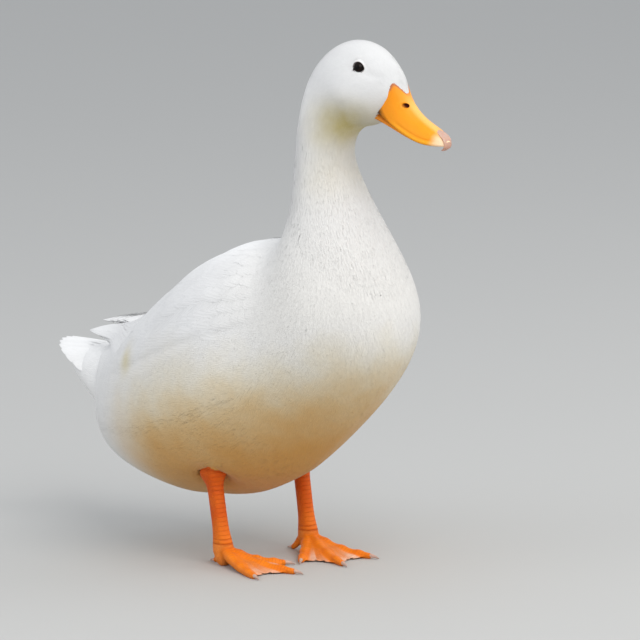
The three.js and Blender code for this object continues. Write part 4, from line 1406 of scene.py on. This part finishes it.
def make_claws():
    """All eight claws as one joined piece."""
    shells = []
    for side in SIDES:
        for toe in TOES:
            way = toe_way(side, toe)
            base = on_toe(side, toe, 0.985) + [0, 0, 0.6]
            shells.append(claw_shell(base, way, CLAW["length"], CLAW["radius"]))
        end = hallux_line(side, 8)[-1]
        shells.append(claw_shell(end, np.array([0, 1.0, 0]), SPUR["length"], SPUR["radius"]))
    points, quads, tris = gather(shells)
    one = np.concatenate([np.repeat(np.linspace(0, 1, CLAW["rows"]), CLAW["sides"]), [0, 1]])
    along = np.tile(one, len(shells))
    material = new_material("claw_horn", claw_paint, {"Subsurface Weight": 0.1, "Subsurface Scale": 0.002})
    return mesh_object("claws", points, [quads, tris], material, values={"along": along})


# ---- Coat ----
def body_spacing():
    """The wanted distance between roots, by rib: small on the face, growing down the neck to the body."""
    sizes = bpy.context.scene.duck.sizes
    body, neck, head = sizes.body_spacing, sizes.neck_spacing, sizes.head_spacing
    spacings = np.array([body, body, neck, neck * 0.9, head, head]) / MM
    return np.column_stack([[0, 9.5, 12, 15, 17, LAST_RIB], spacings])


def around_eyes(points, yaw):
    """The lie bent round each eye, as water flows round a post."""
    away = np.full(len(points), np.inf)
    for sign in SIDES.values():
        out, ahead, up = eye_axes(sign)
        off = points - eye_place(sign)
        a, b = off @ ahead, off @ up
        r = np.hypot(a, b)
        near = (off @ out > -4) & (r < EYE_POST["reach"])
        share = (EYE_POST["radius"] / np.maximum(r, EYE_POST["radius"])) ** 2
        bend = np.arctan2(-share * 2 * a * b / r**2, 1 - share * (a * a - b * b) / r**2)
        yaw = np.where(near, yaw + bend * -sign, yaw)
        away = np.where(near, np.minimum(away, r), away)
    return yaw, away


def leg_clearance(points):
    """How far places are from the nearer bare leg, which swells at the hock, and large above the cuff."""
    clear = np.full(len(points), np.inf)
    for side in SIDES:
        hock, ankle = leg_joints(side)
        gap, _ = near_line(points, np.array([lerp(hock, ankle, -0.2), ankle]))
        clear = np.minimum(clear, gap - SHANK["deep"] - SHANK["hock"] * bump(points[:, 2], HOCK[2], 15))
    return np.where(points[:, 2] < CUFF_HEIGHT + 2, clear, np.inf)


def make_body_coat():
    """The feathers that cover head, neck and trunk. Their roots are spread over the whole form at once
    and then shared among pieces by region, so nothing shows where two pieces meet. Roots begin just
    inside the bill, outside the lids and clear of the legs, and feathers near a leg are short."""
    rng = np.random.default_rng(SEED)
    t, angle = BODY.scatter((0.4, LAST_RIB - 0.2), (0, 2 * np.pi), body_spacing(), rng)
    spots = BODY.place(t, angle)
    yaw = drift(spots, 60, SEED) * 0.18 + rng.normal(0, 0.05, len(t))
    yaw, away = around_eyes(spots, yaw)
    off = off_back(angle)
    clear = leg_clearance(spots)
    keep = ~inside_bill(spots, -ROOTS["in_bill"]) & (away > ROOTS["off_eye"]) & (clear > ROOTS["off_leg"])
    keep = keep & ~under_wing(t, off)
    t, angle, yaw, off, clear = t[keep], angle[keep], yaw[keep], off[keep], clear[keep]
    long = column(FEATHER_SIZE, 1, t) * bpy.context.scene.duck.sizes.length
    long = np.minimum(long, 4 + 0.9 * clear)
    half = np.minimum(column(FEATHER_SIZE, 2, t), 1.5 + 0.3 * clear)
    rise = column(FEATHER_RISE, 1, t) * np.where(off > 1.9, 1.3, 1)
    beside_bill = inside_bill(spots[keep], ROOTS["beside_bill"])
    depth = np.where(beside_bill, ROOTS["depth_there"], column(COAT_DEPTH, 1, t))
    trunk, left, above = t < NECK_FROM, angle < np.pi, off < 1.1
    breast = trunk & (t >= BREAST_FROM) & ~above
    regions = {
        "coat_head": t >= HEAD_FROM,
        "coat_neck": ~trunk & (t < HEAD_FROM),
        "coat_breast_left": breast & left,
        "coat_breast_right": breast & ~left,
        "coat_back": trunk & above,
        "coat_belly": (t < BREAST_FROM) & (off >= 2.2),
    }
    rest = ~np.any(list(regions.values()), axis=0)
    regions["coat_flank_left"] = rest & left
    regions["coat_flank_right"] = rest & ~left
    kinds = {"coat_head": SMALL, "coat_neck": NECK_TUFT}
    pieces = []
    for name, where in regions.items():
        high = rise[where, None]
        heights = (depth[where, None], 0.2 * high, high, 0.25 * high)
        roots = (t[where], angle[where])
        size = (long[where], half[where])
        batch = coat_batch(BODY, roots, yaw[where], size, heights, kinds.get(name, CONTOUR), rng)
        pieces.append(vane_mesh(name, [batch], softness=0.93))
    return pieces


def under_wing(t, off):
    """Whether roots lie well under the folded wing, where its own feathers cover the form."""
    return (t > 4.2) & (t < 6.9) & (off > math.radians(20)) & (off < math.radians(58))


def make_down():
    """Fine loose barbs that lie over the lower feathers' edges and blur them."""
    rng = np.random.default_rng(SEED + 1)
    t, angle = BODY.scatter((1.5, 7.5), (math.radians(105), math.radians(255)), DOWN_SPACING, rng)
    spots = BODY.place(t, angle)
    keep = leg_clearance(spots) > 12
    t, angle, spots = t[keep], angle[keep], spots[keep]
    yaw = drift(spots, 60, SEED) * 0.18 + rng.normal(0, 0.12, len(t))
    size = (np.interp(t, [0, 9.5], [15, 11]), 0.3)
    batch = coat_batch(BODY, (t, angle), yaw, size, (0, 0.15, 0.25, 0), HAIR, rng)
    return vane_mesh("coat_down", [batch])


def make_thigh_coat():
    """Short feathers round the cuff, where each leg leaves them."""
    rng = np.random.default_rng(SEED + 2)
    batches = []
    for form in THIGHS.values():
        t, angle = form.scatter(THIGH_FEATHERED, (0, 2 * np.pi), THIGH_SPACING, rng)
        keep = form.place(t, angle)[:, 2] > CUFF_HEIGHT + 4
        t, angle = t[keep], angle[keep]
        yaw = rng.normal(0, 0.16, len(t))
        long = np.interp(t, THIGH_FEATHERED, [10, 4])
        half = np.interp(t, THIGH_FEATHERED, [2.6, 1.3])
        batches.append(coat_batch(form, (t, angle), yaw, (long, half), (4.5, -3.2, 0.5, 0.3), CONTOUR, rng))
    return vane_mesh("coat_thighs", batches)


# ---- Wings and tail ----
def wing_batches(side, rng):
    """The broad vanes of one folded wing, laid on the body's form row by row."""
    sign = SIDES[side]
    batches = []
    for group in WING_GROUPS:
        u = np.linspace(0, 1, group["count"])
        for n in range(group["rows"]):
            first, last = (group[end][1] + group[end][2] * n for end in ("front", "rear"))
            t = lerp(group["front"][0], group["rear"][0], u) + rng.normal(0, 0.04, len(u))
            angle = np.radians(lerp(first, last, u)) * sign + rng.normal(0, 0.01, len(u))
            yaw = sign * group["turn"] + rng.normal(0, 0.02, len(u))
            short, long, longer = group["long"]
            size = (lerp(short, long + longer * n, u), group["half"])
            heights = (2.5, group["level"][0] + group["level"][1] * n, 0.12, 0.15)
            batches.append(coat_batch(BODY, (t, angle % (2 * np.pi)), yaw, size, heights, BROAD, rng))
    return batches


def blade(line, across, half, thick, camber):
    """A long stiff feather along a line: a flat lens section, thick at the shaft and thin at its edges,
    bent down a little to each side, closed all round. Also gives the way that each point is shaded as
    facing, and how far across the feather it is."""
    w = np.concatenate([np.linspace(-1, 1, 9), np.linspace(1, -1, 9)[1:-1]])
    top = np.concatenate([np.ones(9), -np.ones(7)])
    along = unit(np.gradient(line, axis=0))
    up = unit(np.cross(along, across))
    up = up * np.sign(up[..., 2].sum())
    wide = np.cross(up, along)
    thin = (thick[:, None] * (0.25 + 0.75 * bump(w, 0, 0.12) + 0.2 * (1 - w**2))) * top / 2
    lift = thin - camber * half[:, None] * w**2
    points = line[:, None] + wide[:, None] * (half[:, None] * w)[..., None] + up[:, None] * lift[..., None]
    return points, unit(up[:, None] * top[:, None] + SKYWARD), w


def primary_blades(side):
    """The folded wing's longest feathers: they leave the body, bend over the rump and end in narrow tips
    above the tail. Each is handed over with its root's place on the body's unwrap."""
    sign = SIDES[side]
    ribs, outs = np.array(PRIMARY_ROOTS).T
    blades = []
    for n in np.linspace(0, len(PRIMARY_STEPS) - 1, PRIMARY_COUNT):
        step = np.array([np.interp(n, range(len(PRIMARY_STEPS)), values) for values in PRIMARY_STEPS.T])
        angle = sign * math.radians(step[0])
        roots = BODY.place(ribs, np.full(len(ribs), angle), outs)
        bend = PRIMARY_BEND + step[1:4] + [0, 0, 0.6 * TIPS_RAISED[side]]
        tip = PRIMARY_TIP + step[4:] + [0, 0, TIPS_RAISED[side]]
        line = through([*roots, *(at(sign * spot[0], spot[1], spot[2]) for spot in (bend, tip))], 48)
        u = np.linspace(0, 1, len(line))
        narrow = np.clip((u - 0.45) / 0.56, 0, 1)
        half = PRIMARY_HALF * (1 - narrow**2.4) + 0.15
        turn = smooth(u, 0.55, 0.85)[:, None]
        across = lerp(np.array([sign * -PRIMARY_LEAN, 0, 1.0]), np.array([PRIMARY_LEAN, 0, 1.0]), turn)
        parts = blade(line, across, half, 0.6 * (1.5 - u), 0.1)
        blades.append((*parts, BODY.unwrap(PRIMARY_ROOTS[0][0], angle)))
    return blades


def make_wing(side):
    """One folded wing: rows of broad vanes, and the primaries that reach over the tail."""
    rng = np.random.default_rng(SEED + 3 + SIDES[side])
    batches = wing_batches(side, rng)
    return vane_mesh(f"wing_feathers_{side}", batches, primary_blades(side), softness=0.6)


def tail_blades():
    """Stiff feathers fanned over the wedge. Those at the sides are shorter, lie lower and lean over,
    and the middle ones lie on top."""
    blades = []
    for place in np.linspace(-1, 1, TAIL_FAN["count"]):
        angle = place * TAIL_FAN["spread"]
        long = lerp(TAIL_FAN["long"], TAIL_FAN["short"], place**2)
        aside, forward, height = TAIL_FAN["root"]
        root = at(place * aside, forward, height - TAIL_FAN["arch"] * place**2)
        u = np.linspace(0, 1, 40)
        way = np.array([math.sin(angle) * long, math.cos(angle) * long, -5 * place**2])
        line = root + way * u[:, None] + np.array([0, 0, 1.0]) * (np.sin(np.pi * u))[:, None]
        half = TAIL_FAN["half"] * (1 - np.clip((u - 0.5) / 0.51, 0, 1) ** 3.4) * smooth(u, -0.5, 0.3) + 0.15
        lean = TAIL_FAN["roll"] * place
        parts = blade(line, np.array([1, 0, -lean]), half, 0.7 * (1.6 - u), 0.22)
        blades.append((*parts, WEDGE.unwrap(0.13, place * math.radians(50))))
    return blades


def make_tail():
    """The tail: the fan of stiff feathers, and short soft ones above and below their roots."""
    rng = np.random.default_rng(SEED + 9)
    t, angle = WEDGE.scatter((0.0, 0.9), (0, 2 * np.pi), TAIL_SPACING, rng)
    yaw = rng.normal(0, 0.06, len(t)) + drift(WEDGE.place(t, angle), 50, 4) * 0.1
    above = np.cos(angle) > 0.3
    long = np.where(above, np.interp(t, [0, 1], [26, 14]), np.interp(t, [0, 1], [40, 22]))
    half = np.interp(t, [0, 1], [6.5, 4.5])
    batch = coat_batch(WEDGE, (t, angle), yaw, (long, half), (2.5, 0.1, 0.5, 0.3), CONTOUR, rng)
    return vane_mesh("coat_tail", [batch], tail_blades())


BODY = Form(body_form, 0, LAST_RIB, 24 * LAST_RIB + 1)
WEDGE = Form(wedge_form, -0.3, 1.05, 120, 128, lie=1)
THIGHS = {side: Form(thigh_form(side), 0, 1, 80, 96, lie=1) for side in SIDES}


# ---- Settings ----
def size_of(name, text, default):
    """A length that a user can change, in metres."""
    kind = {"min": 0.0002, "subtype": "DISTANCE", "unit": "LENGTH"}
    return FloatProperty(name=name, description=text, default=default, **kind)


def colour_of(name, text, default):
    """A colour that a user can change."""
    kind = {"min": 0, "max": 1, "size": 3, "subtype": "COLOR"}
    return FloatVectorProperty(name=name, description=text, default=default, **kind)


class DuckSizes(bpy.types.PropertyGroup):
    body_spacing: size_of("Body spacing", "Distance between feather roots on the body", 0.0043)
    neck_spacing: size_of("Neck spacing", "Distance between feather roots on the neck", 0.0024)
    head_spacing: size_of("Head spacing", "Distance between feather roots on the head", 0.00125)
    length: FloatProperty(
        name="Feather length",
        description="Share of the usual length of body feathers",
        default=1.0,
        min=0.3,
        max=2,
        subtype="FACTOR",
    )


class DuckColours(bpy.types.PropertyGroup):
    # The whiter colour of head, tail and top of back is partly whiter feathers and partly painted light.
    bright: colour_of("Bright white", "Feathers of the head and tail", (0.93, 0.93, 0.93))
    white: colour_of("White", "Feathers of the body", (0.75, 0.75, 0.755))
    # Cream and brown are partly stains and partly painted shade and painted light thrown up from the ground.
    cream: colour_of("Cream", "Feathers of the low breast and flanks", (0.7, 0.6, 0.37))
    brown: colour_of("Brown", "Soiled feathers under the belly", (0.6, 0.31, 0.07))
    # The olive is partly stain and partly painted shade and painted light thrown up from the ground.
    olive: colour_of("Olive", "Stained feathers of the throat", (0.58, 0.48, 0.18))
    bill: colour_of("Bill", "Sides of the bill", (0.94, 0.33, 0.004))
    bill_base: colour_of("Bill base", "Bill by the mouth's corner", (0.9, 0.28, 0.004))
    # The ridge's colour is a painted highlight.
    bill_ridge_highlight: colour_of("Bill ridge", "Ridge of the bill", (0.97, 0.57, 0.17))
    bill_lip: colour_of("Bill lip", "Rolled edge of the upper bill", (0.96, 0.42, 0.01))
    bill_tip: colour_of("Bill tip", "Bill beside the nail", (0.96, 0.7, 0.45))
    bill_edge: colour_of("Bill edge", "Bill where the forehead's feathers meet it", (0.36, 0.1, 0.07))
    # Painted shade inside the nostrils.
    nostril: colour_of("Nostril", "Inside of the nostrils", (0.06, 0.004, 0.002))
    gape: colour_of("Gape", "Corner of the mouth", (0.07, 0.03, 0.015))
    nail: colour_of("Nail", "Nail of the bill", (0.62, 0.38, 0.29))
    nail_tip: colour_of("Nail tip", "Hooked tip of the nail", (0.55, 0.26, 0.17))
    leg: colour_of("Leg", "Shanks", (0.74, 0.11, 0.002))
    toe: colour_of("Toe", "Toes", (0.92, 0.24, 0.01))
    web: colour_of("Web", "Webs", (0.92, 0.27, 0.04))
    # The webs' pale front edges are partly their own colour and partly painted light.
    web_pale: colour_of("Web edge", "Front edges of the webs", (0.97, 0.6, 0.42))
    fold: colour_of("Folds", "Seams between scales", (0.42, 0.05, 0.002))
    lid: colour_of("Lids", "Rims of the eyes", (0.12, 0.06, 0.045))
    claw: colour_of("Claws", "Base of the claws", (0.62, 0.42, 0.34))
    claw_tip: colour_of("Claw tips", "Tips of the claws", (0.36, 0.24, 0.2))
    pupil: colour_of("Pupil", "Pupil and rim of the eye", (0.003, 0.002, 0.002))
    iris: colour_of("Iris", "Iris", (0.012, 0.006, 0.004))
    floor: colour_of("Floor", "Studio floor", (0.5, 0.5, 0.49))


class DuckSettings(bpy.types.PropertyGroup):
    sizes: PointerProperty(type=DuckSizes)
    colours: PointerProperty(type=DuckColours)


# ---- Operators ----
def place_piece(piece, slot, *nodes):
    """Hands a piece over to the frame: it rides on the one body and may stand for CAD nodes."""
    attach(piece, "root")
    if nodes:
        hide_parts(*nodes)


class DUCK_OT_skin(bpy.types.Operator):
    """Makes the skin, which stands for all the nodes of flesh"""
    bl_idname = "duck.skin"
    bl_label = "Skin"

    def execute(self, context):
        skin = make_skin()
        mark_skin(skin)
        place_piece(skin, "skin", *FLESH)
        return {"FINISHED"}


class DUCK_OT_bill(bpy.types.Operator):
    """Makes both halves of the bill and its nail"""
    bl_idname = "duck.bill"
    bl_label = "Bill"

    def execute(self, context):
        constants = {"Subsurface Weight": 0.06, "Subsurface Scale": 0.003, "Specular IOR Level": 0.3}
        material = new_material("bill_horn", bill_paint, constants)
        place_piece(make_upper_bill(material), "bill", "bill_upper")
        place_piece(make_lower_bill(material), "bill", "bill_lower")
        place_piece(make_nail_horn(), "nail", "bill_nail")
        return {"FINISHED"}


class DUCK_OT_eyes(bpy.types.Operator):
    """Makes both eyes"""
    bl_idname = "duck.eyes"
    bl_label = "Eyes"

    def execute(self, context):
        material = new_material("eyeball", eye_paint, {"Specular IOR Level": 0.12})
        for side in SIDES:
            place_piece(make_eye(side, material), "eyes", f"eye_{side}")
        return {"FINISHED"}


class DUCK_OT_claws(bpy.types.Operator):
    """Makes the claws of both feet"""
    bl_idname = "duck.claws"
    bl_label = "Claws"

    def execute(self, context):
        nodes = [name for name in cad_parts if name.startswith("claw")]
        place_piece(make_claws(), "claws", *nodes)
        return {"FINISHED"}


class DUCK_OT_coat(bpy.types.Operator):
    """Makes the small feathers of the head, neck, trunk and thighs, and the loose barbs over them"""
    bl_idname = "duck.coat"
    bl_label = "Coat"

    def execute(self, context):
        for piece in [*make_body_coat(), make_down(), make_thigh_coat()]:
            place_piece(piece, "plumage")
        return {"FINISHED"}


class DUCK_OT_wings(bpy.types.Operator):
    """Makes the folded wings"""
    bl_idname = "duck.wings"
    bl_label = "Wings"

    def execute(self, context):
        for side in SIDES:
            place_piece(make_wing(side), "plumage", f"wing_{side}")
        return {"FINISHED"}


class DUCK_OT_tail(bpy.types.Operator):
    """Makes the tail's fan and the soft feathers round it"""
    bl_idname = "duck.tail"
    bl_label = "Tail"

    def execute(self, context):
        place_piece(make_tail(), "plumage")
        return {"FINISHED"}


def floor_paint(start):
    """Plain pale grey, very slightly cloudy."""
    place = object_place(start)
    cloud = place.noise(1.5, 3)
    shade = (cloud * 0.1).between(bpy.context.scene.duck.colours.floor, (0.45, 0.45, 0.44))
    return {"colour": shade}


def add_light(name, place, size, power, tint):
    """A square soft light at a place, turned towards the duck."""
    lamp = bpy.data.lights.new(name, "AREA")
    lamp.shape, lamp.size, lamp.energy, lamp.color = "SQUARE", size, power, tint
    light = bpy.data.objects.new(name, lamp)
    light.location = place
    light.rotation_euler = (Vector(LIT_PLACE) - Vector(place)).to_track_quat("-Z", "Y").to_euler()
    bpy.context.scene.collection.objects.link(light)


def add_floor():
    """A flat floor, far larger than the view."""
    reach = np.linspace(-FLOOR_REACH, FLOOR_REACH, 9)
    x, y = np.meshgrid(reach, reach, indexing="ij")
    points = np.stack([x, y, np.zeros_like(x)], -1)
    material = new_material("floor", floor_paint, {"Roughness": 0.9})
    mesh_object("floor", points, [lattice(9, 9, closed=False)], material)


def add_sky():
    """Even light from all round."""
    world = bpy.data.worlds.new("studio")
    world.use_nodes = True
    background = world.node_tree.nodes["Background"]
    background.inputs["Color"].default_value = SKY["colour"]
    background.inputs["Strength"].default_value = SKY["strength"]
    bpy.context.scene.world = world


def add_camera():
    """A long lens, turned to its target from a little above the level."""
    camera = bpy.data.objects.new("camera", bpy.data.cameras.new("camera"))
    camera.data.sensor_width = 36
    camera.data.angle = CAMERA["angle"]
    camera.data.clip_end = 60
    back = np.array(CAMERA["back"])
    spot = np.array(CAMERA["target"]) + CAMERA["away"] * back / np.linalg.norm(back)
    camera.location = spot * MM
    camera.rotation_euler = Vector(back).to_track_quat("Z", "Y").to_euler()
    bpy.context.scene.collection.objects.link(camera)
    bpy.context.scene.camera = camera


class DUCK_OT_stage(bpy.types.Operator):
    """Makes the floor, the lights, the sky's even light and the camera"""
    bl_idname = "duck.stage"
    bl_label = "Stage"

    def execute(self, context):
        add_floor()
        add_sky()
        for light in LIGHTS:
            add_light(*light)
        add_camera()
        context.scene.view_settings.view_transform = "Standard"
        return {"FINISHED"}


OPERATORS = (
    DUCK_OT_stage, DUCK_OT_skin, DUCK_OT_bill, DUCK_OT_eyes, DUCK_OT_claws, DUCK_OT_coat, DUCK_OT_wings,
    DUCK_OT_tail,
)


class DUCK_PT_panel(bpy.types.Panel):
    """Lists the duck's pieces"""
    bl_idname = "DUCK_PT_panel"
    bl_label = "Duck"
    bl_space_type = "VIEW_3D"
    bl_region_type = "UI"
    bl_category = "Duck"

    def draw(self, context):
        for operator in OPERATORS:
            self.layout.operator(operator.bl_idname)


CLASSES = (DuckSizes, DuckColours, DuckSettings, *OPERATORS, DUCK_PT_panel)


def register():
    """Adds the settings, the operators and the panel to Blender."""
    for cls in CLASSES:
        bpy.utils.register_class(cls)
    bpy.types.Scene.duck = PointerProperty(type=DuckSettings)


def unregister():
    """Takes them away again."""
    del bpy.types.Scene.duck
    for cls in reversed(CLASSES):
        bpy.utils.unregister_class(cls)


def main():
    """Registers the add-on and makes every piece in order."""
    register()
    for operator in OPERATORS:
        group, name = operator.bl_idname.split(".")
        getattr(getattr(bpy.ops, group), name)()


if __name__ == "__main__":
    main()
